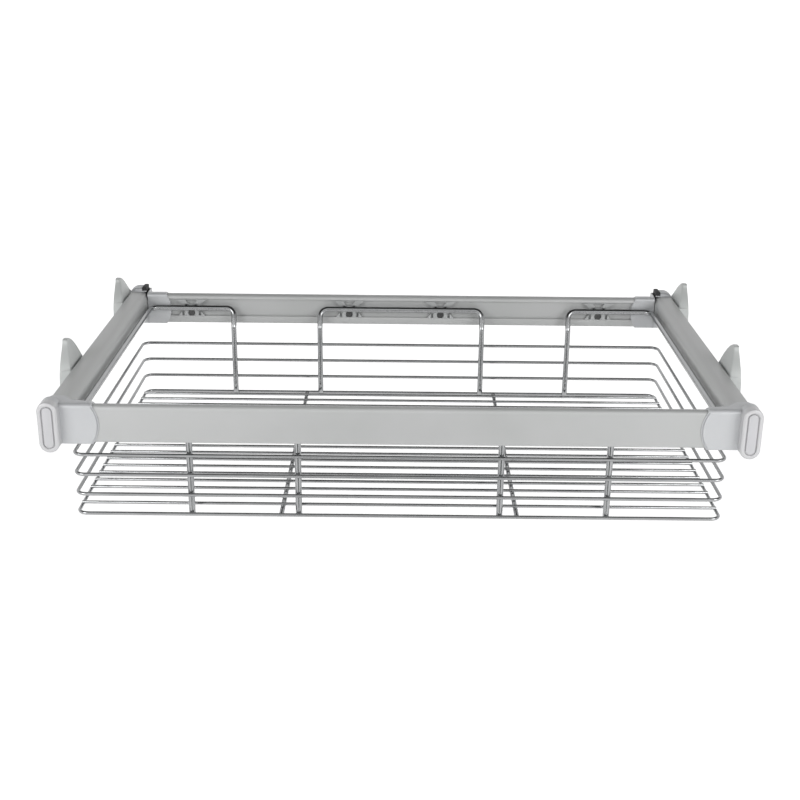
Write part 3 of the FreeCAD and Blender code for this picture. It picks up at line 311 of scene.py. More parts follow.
def combine(piece, tool, operation="DIFFERENCE"):
    # Cuts the tool out of the piece, or adds it, and takes the tool away.
    startAlone(piece)
    change = piece.modifiers.new("shape", "BOOLEAN")
    change.operation = operation
    change.solver = "EXACT"
    change.object = tool
    bpy.ops.object.modifier_apply(modifier=change.name)
    bpy.data.objects.remove(tool)
    return piece


def join(pieces):
    bpy.ops.object.select_all(action="DESELECT")
    for piece in pieces:
        piece.select_set(True)
    bpy.context.view_layer.objects.active = pieces[0]
    bpy.ops.object.join()
    return bpy.context.object


def copyOf(piece, step=(0, 0, 0)):
    startAlone(piece)
    bpy.ops.object.duplicate()
    bpy.ops.transform.translate(value=step)
    return bakePlace()


def flipCopy(piece):
    # The same piece for the other side of the basket, with its faces turned out again.
    startAlone(piece)
    bpy.ops.object.duplicate()
    bpy.context.object.scale.x = -1
    editPiece(bakePlace())
    turnFacesOut()
    return leaveEdit()


def finishPiece(piece, name, slot, body, *nodes):
    startAlone(piece)
    piece.name = name
    piece.data.name = name
    piece.data.materials.clear()
    piece.data.materials.append(finishes[slot])
    bpy.ops.object.shade_smooth_by_angle(angle=smoothAngle)
    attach(piece, body)
    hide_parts(*nodes)


def finishPair(piece, name, slot, body):
    # The right hand piece and its twin, each in the place of the CAD node of its name.
    twin = flipCopy(piece)
    for side, half in (("right", piece), ("left", twin)):
        finishPiece(half, "%s_%s_dressed" % (name, side), slot, body, "%s_%s" % (name, side))


# Wires of the basket

wires = dict(ring=4 * mm, ringLook=4.5 * mm, ringCorner=12 * mm, floor=4 * mm, floorCount=18, bearer=6 * mm,
             hanger=8 * mm, bend=12 * mm, bendSteps=8, roundness=5, rodSides=16, rodEase=0.25, lean=26 * mm,
             innerPlace=123.5 * mm, outerInset=140 * mm, standOff=1.8 * mm, sideStandOff=2.2 * mm,
             footRound=1.6 * mm, seat=0.05 * mm)
ringNodes = ["ring_wire_%d" % number for number in range(1, 5)]
ringLevels = [sum(corner.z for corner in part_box(node)) / 2 for node in ringNodes]
flatReach = wires["ring"] / 2 * math.cos(math.pi / 8)  # the rings' wires have eight flats in the CAD
ringHalf = ring[1].x - flatReach
ringFront = ring[0].y + flatReach
ringRear = ring[1].y - flatReach
floorPitch = (ringRear - ringFront) / (wires["floorCount"] + 1)


def tube(radius, closed):
    # The chain being edited becomes a round wire.
    leaveEdit()
    bpy.ops.object.convert(target="CURVE")
    curve = bpy.context.object.data
    curve.bevel_depth = radius
    curve.bevel_resolution = wires["roundness"]
    curve.use_fill_caps = not closed
    bpy.ops.object.convert(target="MESH")
    editPiece(bpy.context.object)
    turnFacesOut()
    return leaveEdit()


def easeEnds(rod, reach, steps):
    # The two cut ends are the only faces with more than four corners.
    editPiece(rod)
    pick("faces", lambda face: len(face.verts) > 4)
    roundSelected(reach, steps)
    return leaveEdit()


def makeRings():
    middleY = (ringFront + ringRear) / 2
    for number, (node, level) in enumerate(zip(ringNodes, ringLevels), 1):
        sheet((0, middleY, level), ringHalf * 2, ringRear - ringFront)
        roundSelected(wires["ringCorner"], wires["bendSteps"], "VERTICES")
        bpy.ops.mesh.delete(type="ONLY_FACE")
        finishPiece(tube(wires["ringLook"] / 2, True), "ring_%d" % number, "chrome_wire", "basket", node)


def straightWire(start, stop, radius):
    # A rod with its cut ends eased.
    axis = "XYZ"[max(range(3), key=lambda index: abs((stop - start)[index]))]
    rod = drum((start + stop) / 2, radius, (stop - start).length, axis, wires["rodSides"])
    return easeEnds(rod, radius * wires["rodEase"], 2)


def makeFloor():
    low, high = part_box("floor_wires")
    start = Vector((-ringHalf, ringFront + floorPitch, (low.z + high.z) / 2))
    first = straightWire(start, start + Vector((ringHalf * 2, 0, 0)), wires["floor"] / 2)
    rods = [first] + [copyOf(first, (0, floorPitch * number, 0)) for number in range(1, wires["floorCount"])]
    finishPiece(join(rods), "floor_rods", "chrome_wire", "basket", "floor_wires")
    radius = wires["bearer"] / 2
    for side in ("left", "right"):
        low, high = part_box("floor_bearer_" + side)
        x = (low.x + high.x) / 2
        bearer = straightWire(Vector((x, low.y, radius)), Vector((x, high.y, radius)), radius)
        finishPiece(bearer, "bearer_" + side, "chrome_wire", "basket", "floor_bearer_" + side)


def bentRod(points):
    # Every inner point is bent to the same radius, and the two cut feet are rounded.
    drawPath(points)
    for before, corner, after in zip(points, points[1:], points[2:]):
        turn = (corner - before).angle(after - corner)
        roundPoint(corner, wires["bend"] * math.tan(turn / 2), max(3, round(wires["bendSteps"] * turn)))
    return easeEnds(tube(wires["hanger"] / 2, False), wires["footRound"], 3)


dropInset = wires["ring"] / 2 + wires["hanger"] / 2 + wires["seat"]
runGap = wires["standOff"] + wires["hanger"] / 2
frontRun = frontBack + runGap
rearRun = rearFace - runGap
frontDrop = ringFront + dropInset
rearDrop = ringRear - dropInset
leanZ = runZ - wires["lean"]
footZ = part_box("middle_hanger_front")[0].z
outerDrop = ringHalf - wires["outerInset"]
sideRun = sideInner - wires["sideStandOff"] - wires["hanger"] / 2


def makeHangers():
    place = wires["innerPlace"]
    for end, drop, run in (("front", frontDrop, frontRun), ("rear", rearDrop, rearRun)):
        points = [(-place, drop, footZ), (-place, drop, leanZ), (-place, run, runZ),
                  (place, run, runZ), (place, drop, leanZ), (place, drop, footZ)]
        rod = bentRod([Vector(point) for point in points])
        finishPiece(rod, "hanger_" + end, "chrome_wire", "basket", "middle_hanger_" + end)
    for side, sign in (("left", -1), ("right", 1)):
        drop, run = outerDrop * sign, sideRun * sign
        points = [(drop, frontDrop, footZ), (drop, frontDrop, leanZ), (drop, frontRun, runZ),
                  (run, frontRun, runZ), (run, rearRun, runZ),
                  (drop, rearRun, runZ), (drop, rearDrop, leanZ), (drop, rearDrop, footZ)]
        rod = bentRod([Vector(point) for point in points])
        finishPiece(rod, "hanger_" + side, "chrome_wire", "basket", "side_hanger_" + side)


def makeWelds():
    # Small beads where wires cross and touch.
    beads = dict(drop=2.1 * mm, dropStretch=(1.5, 0.7, 1), thin=1.3 * mm, thinStretch=(1.1, 1.1, 0.7))
    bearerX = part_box("floor_bearer_right")[1].x - wires["bearer"] / 2
    spots = []
    for x in (-outerDrop, -wires["innerPlace"], wires["innerPlace"], outerDrop):
        for y in (ringFront + wires["ring"] / 2, ringRear - wires["ring"] / 2):
            spots += [(Vector((x, y, z)), beads["drop"], beads["dropStretch"]) for z in ringLevels]
    for number in range(1, wires["floorCount"] + 1):
        y = ringFront + floorPitch * number
        spots += [(Vector((x, y, wires["bearer"])), beads["thin"], beads["thinStretch"])
                  for x in (-ringHalf, -bearerX, bearerX, ringHalf)]
    made = []
    for place, radius, stretch in spots:
        bpy.ops.object.select_all(action="DESELECT")
        bpy.ops.mesh.primitive_uv_sphere_add(segments=12, ring_count=8, radius=radius, location=place)
        bpy.context.object.scale = stretch
        made.append(bakePlace())
    finishPiece(join(made), "weld_beads", "chrome_wire", "basket")


makeRings()
makeFloor()
makeHangers()
makeWelds()
print("wires bent and welded")


# Bars of the frame

bars = dict(frontRound=6 * mm, backRound=6.8 * mm, edge=2.4 * mm, easing=0.35 * mm, mouth=26.5 * mm,
            slot=30 * mm, deep=4 * mm, lip=1.6 * mm, frontEase=0.7 * mm, slideDeep=12.9 * mm, web=1.5 * mm,
            chamber=31.6 * mm)
railFace = sideOuter - bars["slideDeep"]
webX = railFace - bars["web"]
chamberZ = barTop - bars["chamber"]


def crossBar(name, face, back, lowZ, highZ, half):
    # The extrusion's section, with the slotted channel on the side of the basket.
    inwards = 1 if back > face else -1
    lip = back - bars["lip"] * inwards
    deep = back - bars["deep"] * inwards
    mouthLow, mouthHigh = channelMiddle - bars["mouth"] / 2, channelMiddle + bars["mouth"] / 2
    slotLow, slotHigh = channelMiddle - bars["slot"] / 2, channelMiddle + bars["slot"] / 2
    pairs = [(face, lowZ), (back, lowZ), (back, mouthLow), (lip, mouthLow), (lip, slotLow),
             (deep, slotLow), (deep, slotHigh), (lip, slotHigh), (lip, mouthHigh),
             (back, mouthHigh), (back, highZ), (face, highZ)]
    rounds = [(0, bars["edge"], 5), (1, bars["edge"], 4)]
    rounds += [(10, bars["backRound"], 8), (11, bars["frontRound"], 8)]
    rounds += [(number, bars["easing"], 2) for number in (2, 3, 8, 9)]
    outlinePrism(inPlane("X", -half, pairs), (half * 2, 0, 0), rounds)
    finishPiece(leaveEdit(), name + "_dressed", "bar_paint", "basket", name)


def sideRail():
    # The hollow side of the frame; its channel for the slide opens to the wall.
    setup = dict(topWall=2.2 * mm, topRound=11.5 * mm, corner=1.4 * mm)
    roof, floor = barTop - setup["topWall"], barBottom + setup["topWall"]
    pairs = [(sideInner, barTop), (sideOuter, barTop), (sideOuter, roof), (railFace, roof),
             (railFace, floor), (sideOuter, floor), (sideOuter, barBottom), (webX, barBottom),
             (webX, chamberZ), (sideInner, chamberZ)]
    rounds = [(0, setup["topRound"], 12), (7, setup["corner"], 4), (9, setup["corner"], 4)]
    rounds += [(number, bars["easing"], 2) for number in (1, 2, 5, 6)]
    outlinePrism(inPlane("Y", sideBar[0].y, pairs), (0, sideBar[1].y - sideBar[0].y, 0), rounds)
    finishPair(leaveEdit(), "side_bar", "bar_paint", "basket")


frontEase = bars["frontEase"]
crossBar("front_bar", faceY, frontBack, barBottom + frontEase, barTop - frontEase, frontBar[1].x)
crossBar("rear_bar", rearBack, rearFace, rearBar[0].z, rearBar[1].z, rearBar[1].x)
sideRail()
print("bars extruded")


# Front corner covers and oval caps

covers = dict(skin=1.2 * mm, outset=4.6 * mm, bulge=41 * mm, arcSides=128, past=2 * mm, through=100 * mm)
capLift = dict(low=1.4 * mm, high=6.6 * mm)
skin = covers["skin"]
coverOuter = sideOuter + covers["outset"]
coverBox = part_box("corner_cover_right")


def lifted(node):
    # The caps of the photo stand a little higher than their CAD nodes.
    low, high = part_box(node)
    return low + up * capLift["low"], high + up * capLift["high"]


capBox = lifted("end_cap_right")
inlayBox = lifted("cap_inlay_right")


def arcDisc(centreX, y, radius, length):
    # A disc round the centre of a parting line, on the bars' middle height.
    return drum((centreX, y, barMiddle), radius, length, "Y", covers["arcSides"])


def arcEnd(piece, apex, front, back):
    # The end towards the middle of the bar is cut to an arc.
    bulge, past = covers["bulge"], covers["past"]
    cutter = box((apex - past, front - past, barMiddle - bulge),
                 (apex + bulge, back + past, barMiddle + bulge))
    combine(cutter, arcDisc(apex + bulge, (front + back) / 2, bulge, covers["through"]))
    return combine(piece, cutter)


def partingGroove(centreX, front):
    # A thin ring just inside the arc, kept only on the side of the middle of the bar.
    setup = dict(inset=0.5 * mm, wide=1.7 * mm, deep=1.1 * mm)
    radius = covers["bulge"] - setup["inset"]
    groove = arcDisc(centreX, front, radius, setup["deep"] * 2)
    combine(groove, arcDisc(centreX, front, radius - setup["wide"], covers["through"]))
    half = covers["through"] / 2
    beyond = box((centreX - covers["bulge"] / 2, front - half, barMiddle - half),
                 (centreX + half, front + half, barMiddle + half))
    return combine(groove, beyond)


def stadiumPrism(outline, startY, length, steps):
    # An upright shape with round ends, as wide and high as the box, extruded along Y; stays in edit mode.
    low, high = outline
    width, height = high.x - low.x, high.z - low.z
    sheet(((low.x + high.x) / 2, startY, (low.z + high.z) / 2), width, height, (math.pi / 2, 0, 0))
    roundSelected(width / 2 - tiny, steps, "VERTICES")
    mergeDoubles(tiny * 4)
    bpy.ops.mesh.extrude_region_move(TRANSFORM_OT_translate={"value": (0, length, 0)})
    turnFacesOut()


def cornerCover():
    setup = dict(corner=9 * mm, innerCorner=2 * mm, topRound=6 * mm, lowRound=1.6 * mm, arm=65 * mm,
                 rim=0.2 * mm, rimReach=0.1 * mm, innerSkin=0.4 * mm, armRound=11.9 * mm, armShort=32 * mm,
                 seat=11 * mm, seatSteps=14, cheekLap=mm, cheekDrop=6 * mm)
    low, high = barBottom - skin, barTop + skin
    front, back = faceY - skin, frontBack + skin
    apex = coverOuter - setup["arm"]
    arcX = apex + covers["bulge"]
    inner = sideInner - setup["innerSkin"]
    armEnd = coverBox[1].y - setup["armShort"]
    pairs = [(apex, front), (coverOuter, front), (coverOuter, armEnd),
             (inner, armEnd), (inner, back), (apex, back)]
    rounds = [(1, setup["corner"], 8), (4, setup["innerCorner"], 3)]
    outlinePrism(inPlane("Z", low, pairs), (0, 0, high - low), rounds)

    def outside(edge):
        place = middleOf(edge)
        atCorner = place.x > coverOuter - setup["corner"] and place.y < front + setup["corner"]
        return near(place.y, front) or near(place.x, coverOuter) or atCorner

    def onRim(edge):
        # The chords of the arc's front edge, whose middles lie a hair inside the circle.
        place = middleOf(edge)
        offArc = math.hypot(place.x - arcX, place.z - barMiddle) - covers["bulge"]
        atTip = place.x < apex + covers["bulge"] / 3
        return onLevel(edge, "y", front) and atTip and abs(offArc) < setup["rimReach"]

    bevelEdges(lambda edge: onLevel(edge, "z", high) and outside(edge), setup["topRound"], 8)
    bevelEdges(lambda edge: onLevel(edge, "z", low) and outside(edge), setup["lowRound"], 4)
    bevelEdges(lambda edge: onLevel(edge, "z", high) and near(middleOf(edge).x, inner), setup["armRound"], 12)
    bevelEdges(lambda edge: onLevel(edge, "z", high) and near(middleOf(edge).y, back), bars["backRound"], 6)
    cover = arcEnd(leaveEdit(), apex, front, back)
    editPiece(cover)
    bevelEdges(onRim, setup["rim"], 3)
    leaveEdit()
    combine(cover, partingGroove(arcX, front))
    # The seat behind the oval cap, and a cheek over the side bar's open channel in front of the rails.
    stadiumPrism(capBox, capBox[1].y, setup["seat"], setup["seatSteps"])
    seat = leaveEdit()
    cheek = box((coverOuter - skin, armEnd - setup["cheekLap"], low + setup["lowRound"]),
                (coverOuter, coverBox[1].y, barTop - setup["cheekDrop"]))
    finishPair(join([cover, seat, cheek]), "corner_cover", "cover_plastic", "basket")


def ovalCap():
    setup = dict(rim=5 * mm, groove=2.2 * mm, outerRound=2.2 * mm, innerRound=0.8 * mm, steps=18)
    low, high = capBox
    stadiumPrism(capBox, high.y, low.y - high.y, setup["steps"])
    pick("faces", lambda face: near(face.calc_center_median().y, low.y))
    bpy.ops.mesh.inset(thickness=setup["rim"])
    bpy.ops.mesh.extrude_region_move(TRANSFORM_OT_translate={"value": (0, setup["groove"], 0)})
    middle = (low + high) / 2
    reach = (high.x - low.x) / 2 - setup["rim"] / 2
    straight = (high.z - low.z) / 2 - (high.x - low.x) / 2

    def offMiddle(vert):
        along = max(abs(vert.co.z - middle.z) - straight, 0)
        return math.hypot(vert.co.x - middle.x, along)

    bevelEdges(lambda edge: onLevel(edge, "y", low.y) and min(map(offMiddle, edge.verts)) > reach,
               setup["outerRound"], 6)
    bevelEdges(lambda edge: onLevel(edge, "y", low.y) and max(map(offMiddle, edge.verts)) < reach,
               setup["innerRound"], 3)
    finishPair(leaveEdit(), "end_cap", "cap_plastic", "basket")


def capInlay():
    setup = dict(edge=0.9 * mm, steps=14, shrink=0.9 * mm)
    low, high = inlayBox
    shrink = Vector((setup["shrink"], 0, setup["shrink"]))
    stadiumPrism((low + shrink, high - shrink), high.y, low.y - high.y, setup["steps"])
    bevelEdges(lambda edge: onLevel(edge, "y", low.y), setup["edge"], 4)
    finishPair(leaveEdit(), "cap_inlay", "inlay_plastic", "basket")


cornerCover()
ovalCap()
capInlay()
print("front corners and caps modelled")


# Rear connectors and bumpers

def rearConnector():
    setup = dict(arm=36 * mm, topRound=5 * mm, edge=1.5 * mm, gap=0.1 * mm, wall=1.1 * mm,
                 wallCorner=5 * mm, wallEase=0.4 * mm, endWall=1.8 * mm, saddleRound=0.6 * mm,
                 humpRise=5 * mm, humpLength=26 * mm, humpBehind=2 * mm, humpEdge=1.2 * mm,
                 humpRound=3.6 * mm, shoulder=6 * mm, shoulderRound=3 * mm)
    gap, wall = setup["gap"], setup["wall"]
    low, high = rearBar[0].z - skin, rearBar[1].z + skin
    front, back = rearFace - skin, rearBack + skin
    web, step = webX - gap, chamberZ - gap
    # The sleeve on the rear bar, with its arc end.
    sleeveX = sideInner - setup["arm"]
    cheekX = sideInner - skin
    pairs = [(sleeveX, low), (web, low), (web, step),
             (cheekX + wall, step), (cheekX + wall, high), (sleeveX, high)]
    outlinePrism(inPlane("Y", front, pairs), (0, back - front, 0))
    for level, reach in ((high, setup["topRound"]), (low, setup["edge"])):
        for side in (front, back):
            bevelEdges(lambda edge: onLevel(edge, "y", side) and near(middleOf(edge).z, level)
                       and middleOf(edge).x < web - tiny, reach, 6)
    sleeve = arcEnd(leaveEdit(), sleeveX, front, back)
    # The block, the cheek and the end wall that close the side bar.
    block = box((cheekX, back - gap, low), (web, rearEnd, step))
    outlinePrism(inPlane("X", cheekX, [(front, low), (rearEnd, low), (rearEnd, high), (front, high)]),
                 (wall, 0, 0), [(3, setup["wallCorner"], 6)])
    bevelEdges(lambda edge: onLevel(edge, "x", cheekX), setup["wallEase"], 2)
    cheek = leaveEdit()
    end = box((cheekX, rearEnd - setup["endWall"], low), (web, rearEnd, high))
    # The saddle on top of the side bar and the hump beside the bumper.
    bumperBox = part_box("rear_bumper_right")
    outer = sideOuter + wall
    saddleLow, saddleTop = barTop + gap, barTop + gap + wall
    saddleY = rearEnd - setup["humpLength"]
    editPiece(box((bumperBox[0].x, saddleY, saddleLow), (outer, rearEnd, saddleTop)))
    bevelEdges(lambda edge: onLevel(edge, "z", saddleTop), setup["saddleRound"], 3)
    saddle = leaveEdit()
    humpX = bumperBox[1].x + gap
    humpY = saddleY + setup["humpBehind"]
    humpTop = barTop + setup["humpRise"]
    pairs = [(humpX, saddleLow), (outer, saddleLow), (outer, saddleTop), (outer - setup["shoulder"], humpTop),
             (humpX, humpTop)]
    outlinePrism(inPlane("Y", humpY, pairs), (0, rearEnd - humpY, 0),
                 [(3, setup["shoulderRound"], 6), (4, setup["humpEdge"], 3)])
    bevelEdges(lambda edge: (onLevel(edge, "y", humpY) or onLevel(edge, "y", rearEnd))
               and middleOf(edge).z > saddleTop + tiny and middleOf(edge).x > humpX + tiny,
               setup["humpRound"], 6)
    hump = leaveEdit()
    finishPair(join([sleeve, block, cheek, end, saddle, hump]), "rear_connector", "cover_plastic", "basket")


def rearBumper():
    setup = dict(edge=1.6 * mm, steps=4, forward=7 * mm, down=5 * mm)
    low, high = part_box("rear_bumper_right")
    low = low - Vector((0, setup["forward"], setup["down"]))
    editPiece(box(low, high))
    bevelEdges(lambda edge: middleOf(edge).z > low.z + tiny, setup["edge"], setup["steps"])
    finishPair(leaveEdit(), "rear_bumper", "black_rubber", "basket")


rearConnector()
rearBumper()
print("rear connectors and bumpers modelled")


# Clips and their screws

clips = dict(topWidth=47 * mm, lowWidth=41 * mm, waist=24 * mm, corner=1.2 * mm, slack=0.15 * mm,
             faceGap=0.1 * mm, innerPlace=70 * mm, outerInset=76.6 * mm, rearShift=9.5 * mm, hook=3 * mm,
             hookPlace=7.5 * mm, hookWall=1.2 * mm, hookGap=0.1 * mm, hookTurn=190, hookSteps=16,
             rootPast=0.5 * mm, screwDrop=9.5 * mm, bore=11 * mm, boreDeep=4.6 * mm, easing=0.4 * mm,
             recessTop=18 * mm, recessLow=8 * mm, recessDeep=8 * mm, recessRim=0.8 * mm, notch=3.6 * mm,
             notchPlace=12.6 * mm, notchLow=4 * mm, notchHigh=3 * mm, notchFloor=1.2 * mm)
clipPlaces = {"outer_left": -(sideInner - clips["outerInset"]), "inner_left": -clips["innerPlace"],
              "inner_right": clips["innerPlace"], "outer_right": sideInner - clips["outerInset"]}
clipReach = wires["standOff"] - clips["faceGap"]
screwZ = runZ - clips["screwDrop"]
mouthHalf = bars["mouth"] / 2 - clips["slack"]


def rodHook(place, run):
    # A strip turned about the rod from above it, past its front, to below it.
    inner = wires["hanger"] / 2 + clips["hookGap"]
    middle = Vector((place, run, runZ))
    start = middle + up * (inner + clips["hookWall"] / 2)
    sheet(start, clips["hook"], clips["hookWall"], (math.pi / 2, 0, 0))
    bpy.ops.mesh.spin(steps=clips["hookSteps"], angle=math.radians(-clips["hookTurn"]), center=middle,
                      axis=(1, 0, 0), use_normal_flip=False)
    turnFacesOut()
    hook = leaveEdit()
    root = box(middle + Vector((-clips["hook"] / 2, -wires["hanger"] / 2 - clips["rootPast"], inner)),
               middle + Vector((clips["hook"] / 2, 0, inner + clips["hookWall"])))
    return join([hook, root])


def clipAt(place, face):
    # A clip on the front bar: the base in the channel, the hooks over the rod.
    front = face + clipReach
    base = face - bars["deep"] + wires["seat"]
    top, low, waist = clips["topWidth"] / 2, clips["lowWidth"] / 2, clips["waist"] / 2
    waistHigh, waistLow = runZ + wires["hanger"] / 4, runZ - wires["hanger"] / 2
    pairs = [(place - top, channelMiddle + mouthHalf), (place - waist, waistHigh), (place - waist, waistLow),
             (place - low, channelMiddle - mouthHalf), (place + low, channelMiddle - mouthHalf),
             (place + waist, waistLow), (place + waist, waistHigh), (place + top, channelMiddle + mouthHalf)]
    outlinePrism(inPlane("Y", base, pairs), (0, front - base, 0),
                 [(number, clips["corner"], 3) for number in range(len(pairs))])
    bevelEdges(lambda edge: onLevel(edge, "y", front), clips["easing"], 2)
    mergeDoubles()
    turnFacesOut()
    clip = leaveEdit()
    combine(clip, drum((place, front, screwZ), clips["bore"] / 2, clips["boreDeep"] * 2, "Y", 40))
    # A recess that narrows down to the rod, and a notch on either side of the screw.
    wide, narrow = clips["recessTop"] / 2, clips["recessLow"] / 2
    low, high = runZ + wires["hanger"] / 2, channelMiddle + mouthHalf - clips["recessRim"]
    recess = box((place - wide, front - clips["recessDeep"], low), (place + wide, front + mm, high))
    editPiece(recess)
    pick("verts", lambda vert: vert.co.z < low + tiny)
    bpy.ops.transform.resize(value=(narrow / wide, 1, 1), center_override=(place, front, low))
    leaveEdit()
    combine(clip, recess)
    half = clips["notch"] / 2
    for side in (-1, 1):
        middle = place + clips["notchPlace"] * side
        combine(clip, box((middle - half, base + clips["notchFloor"], screwZ - clips["notchLow"]),
                          (middle + half, front + mm, screwZ + clips["notchHigh"])))
    hooks = [rodHook(place + clips["hookPlace"] * side, face + runGap) for side in (-1, 1)]
    return join([clip] + hooks)


def screwAt(place, face):
    # A round head with a cross in it, at the bottom of the clip's bore. Its near-black screw_steel finish is
    # painted shade, for the dark of the bore.
    setup = dict(head=9.6 * mm, high=1.6 * mm, round=0.7 * mm, crossLong=2.4 * mm, crossThin=0.6 * mm,
                 crossFloor=0.5 * mm)
    seat = face + clipReach - clips["boreDeep"]
    top = seat + setup["high"]
    head = drum((place, seat + setup["high"] / 2, screwZ), setup["head"] / 2, setup["high"], "Y")
    editPiece(head)
    bevelEdges(lambda edge: onLevel(edge, "y", top), setup["round"], 4)
    leaveEdit()
    arms = [(setup["crossThin"], setup["crossLong"]), (setup["crossLong"], setup["crossThin"])]
    for across, high in arms:
        combine(head, box((place - across, seat + setup["crossFloor"], screwZ - high),
                          (place + across, top + mm, screwZ + high)))
    return head


def turnedCopy(piece, middleY):
    # The rear bar's clips face the other way.
    startAlone(copyOf(piece))
    bpy.ops.transform.rotate(value=math.pi, orient_axis="Z", center_override=(0, middleY, 0))
    return bakePlace()


def makeClips():
    firstPlace = clipPlaces["inner_right"]
    firstPair = [clipAt(firstPlace, frontBack), screwAt(firstPlace, frontBack)]
    middleY = (frontBack + rearFace) / 2
    models = {"front": (firstPlace, firstPair),
              "rear": (clips["rearShift"] - firstPlace, [turnedCopy(piece, middleY) for piece in firstPair])}
    screws = []
    for end, (start, pair) in models.items():
        for name, place in clipPlaces.items():
            clip, screw = [copyOf(piece, (place - start, 0, 0)) for piece in pair]
            node = "%s_clip_%s" % (end, name)
            finishPiece(clip, node + "_dressed", "clip_plastic", "basket", node)
            screws.append(screw)
    finishPiece(join(screws), "clip_screw_heads", "screw_steel", "basket", "clip_screws")
    for start, pair in models.values():
        for piece in pair:
            bpy.data.objects.remove(piece)


makeClips()
print("clips and screws modelled")


# Wall brackets with their fins

def shares(steps):
    return [step / steps for step in range(steps + 1)]


def wallBracket(end):
    # The fin's front edge leans back in a slow curve and its back edge drops in a faster one.
    setup = dict(toe=4 * mm, lowRise=6 * mm, length=66 * mm, rise=dict(front=28.6 * mm, rear=25.6 * mm),
                 shoulder=11 * mm, backDrop=12 * mm, tipFront=0.40, tipBack=0.50, frontBend=1.5,
                 frontSwell=0.12, frontSteps=8, backBend=1.25, backSteps=7, slopeDrop=16 * mm,
                 tipThick=6.5 * mm, slideGap=mm, edge=2.2 * mm, sharp=35, wallMargin=2 * mm,
                 slideHigh=42 * mm, footInset=2.5 * mm, footMargin=5 * mm, footReach=0.2 * mm,
                 hole=5.5 * mm, holeSpacing=32 * mm, holePlace=30 * mm, holeIn=10 * mm, holeLong=30 * mm)
    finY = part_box(end + "_bracket_right")[0].y + setup["toe"]
    back = finY + setup["length"]
    inner = sideOuter + setup["slideGap"]
    low, tip = barBottom + setup["lowRise"], barTop + setup["rise"][end]
    shoulderZ = barMiddle + setup["shoulder"]
    backZ = barTop - setup["backDrop"]
    toTipFront = setup["length"] * setup["tipFront"]
    toTipBack = setup["length"] * (1 - setup["tipBack"])
    frontEdge = [(finY + toTipFront * math.sin(share * math.pi / 2) ** setup["frontBend"],
                  shoulderZ + (tip - shoulderZ) * (share + setup["frontSwell"] * math.sin(share * math.pi)))
                 for share in shares(setup["frontSteps"])]
    backEdge = [(back - toTipBack * share ** setup["backBend"],
                 backZ + (tip - backZ) * math.sin(share * math.pi / 2))
                for share in shares(setup["backSteps"])]
    pairs = [(finY - setup["toe"], low), (back, low)] + backEdge + frontEdge[::-1]
    outlinePrism(inPlane("X", wallX, pairs), (inner - wallX, 0, 0))
    # The fin thins towards its tip, on the side of the basket.
    slopeZ = barTop - setup["slopeDrop"]
    across = wallX - setup["tipThick"] - inner
    bpy.ops.mesh.bisect(plane_co=(inner, finY, slopeZ), plane_no=(slopeZ - tip, 0, across), use_fill=True,
                        clear_outer=True)
    wallSide = wallX - setup["wallMargin"]
    sharp = math.radians(setup["sharp"])
    bevelEdges(lambda edge: len(edge.link_faces) == 2 and edge.calc_face_angle(0) > sharp
               and middleOf(edge).x < wallSide and middleOf(edge).z > low + tiny, setup["edge"], 4)
    fin = leaveEdit()
    # The foot that carries the rail, and the two screw holes through it.
    middle = finY + setup["holePlace"]
    halfLong = setup["length"] / 2 - setup["footMargin"]
    halfHigh = setup["slideHigh"] / 2 - setup["footInset"]
    foot = box((sideOuter - setup["footReach"], middle - halfLong, barMiddle - halfHigh),
               (wallSide, middle + halfLong, barMiddle + halfHigh))
    combine(fin, foot, "UNION")
    for side in (-1, 1):
        place = (wallX - setup["holeIn"], middle + setup["holeSpacing"] / 2 * side, barMiddle)
        combine(fin, drum(place, setup["hole"] / 2, setup["holeLong"], "X"))
    finishPair(fin, end + "_bracket", "bracket_plastic", "wall_side")


wallBracket("front")
wallBracket("rear")
print("wall brackets modelled")


# Floor, lights and camera

def seenRays(nodes, links):
    # 1 where the camera, a gloss or a clear surface looks, and 0 elsewhere.
    path = nodes.new("ShaderNodeLightPath")
    seen = path.outputs["Is Camera Ray"]
    for kind in ("Is Glossy Ray", "Is Transmission Ray"):
        larger = nodes.new("ShaderNodeMath")
        larger.operation = "MAXIMUM"
        links.new(seen, larger.inputs[0])
        links.new(path.outputs[kind], larger.inputs[1])
        seen = larger.outputs["Value"]
    return seen


def stageFinish(name, setup):
    # Lit plainly, and lifted to white where it is seen.
    material, nodes, links, shader = newMaterial(name)
    shader.inputs["Base Color"].default_value = (*setup["colour"], 1)
    shader.inputs["Roughness"].default_value = setup["roughness"]
    strength = nodes.new("ShaderNodeMath")
    strength.operation = "MULTIPLY"
    strength.inputs[1].default_value = setup["lift"]
    links.new(seenRays(nodes, links), strength.inputs[0])
    shader.inputs["Emission Color"].default_value = (1, 1, 1, 1)
    links.new(strength.outputs["Value"], shader.inputs["Emission Strength"])
    return material


def makeStage():
    setup = dict(size=60, drop=0.42, colour=(0.86, 0.86, 0.86), roughness=0.9, lift=0.6)
    bpy.ops.object.select_all(action="DESELECT")
    bpy.ops.mesh.primitive_plane_add(size=setup["size"], location=(0, 0, -setup["drop"]))
    floor = bpy.context.object
    floor.name = "floor"
    floor.data.materials.append(stageFinish("paleFloor", setup))


def makeWorld():
    setup = dict(light=0.75, seen=1.0)
    world = bpy.data.worlds.new("studio")
    bpy.context.scene.world = world
    world.use_nodes = True
    nodes = world.node_tree.nodes
    links = world.node_tree.links
    backdrop = nodes["Background"]
    backdrop.inputs["Color"].default_value = (1, 1, 1, 1)
    strength = nodes.new("ShaderNodeMapRange")
    strength.inputs["To Min"].default_value = setup["light"]
    strength.inputs["To Max"].default_value = setup["seen"]
    links.new(seenRays(nodes, links), strength.inputs["Value"])
    links.new(strength.outputs["Result"], backdrop.inputs["Strength"])


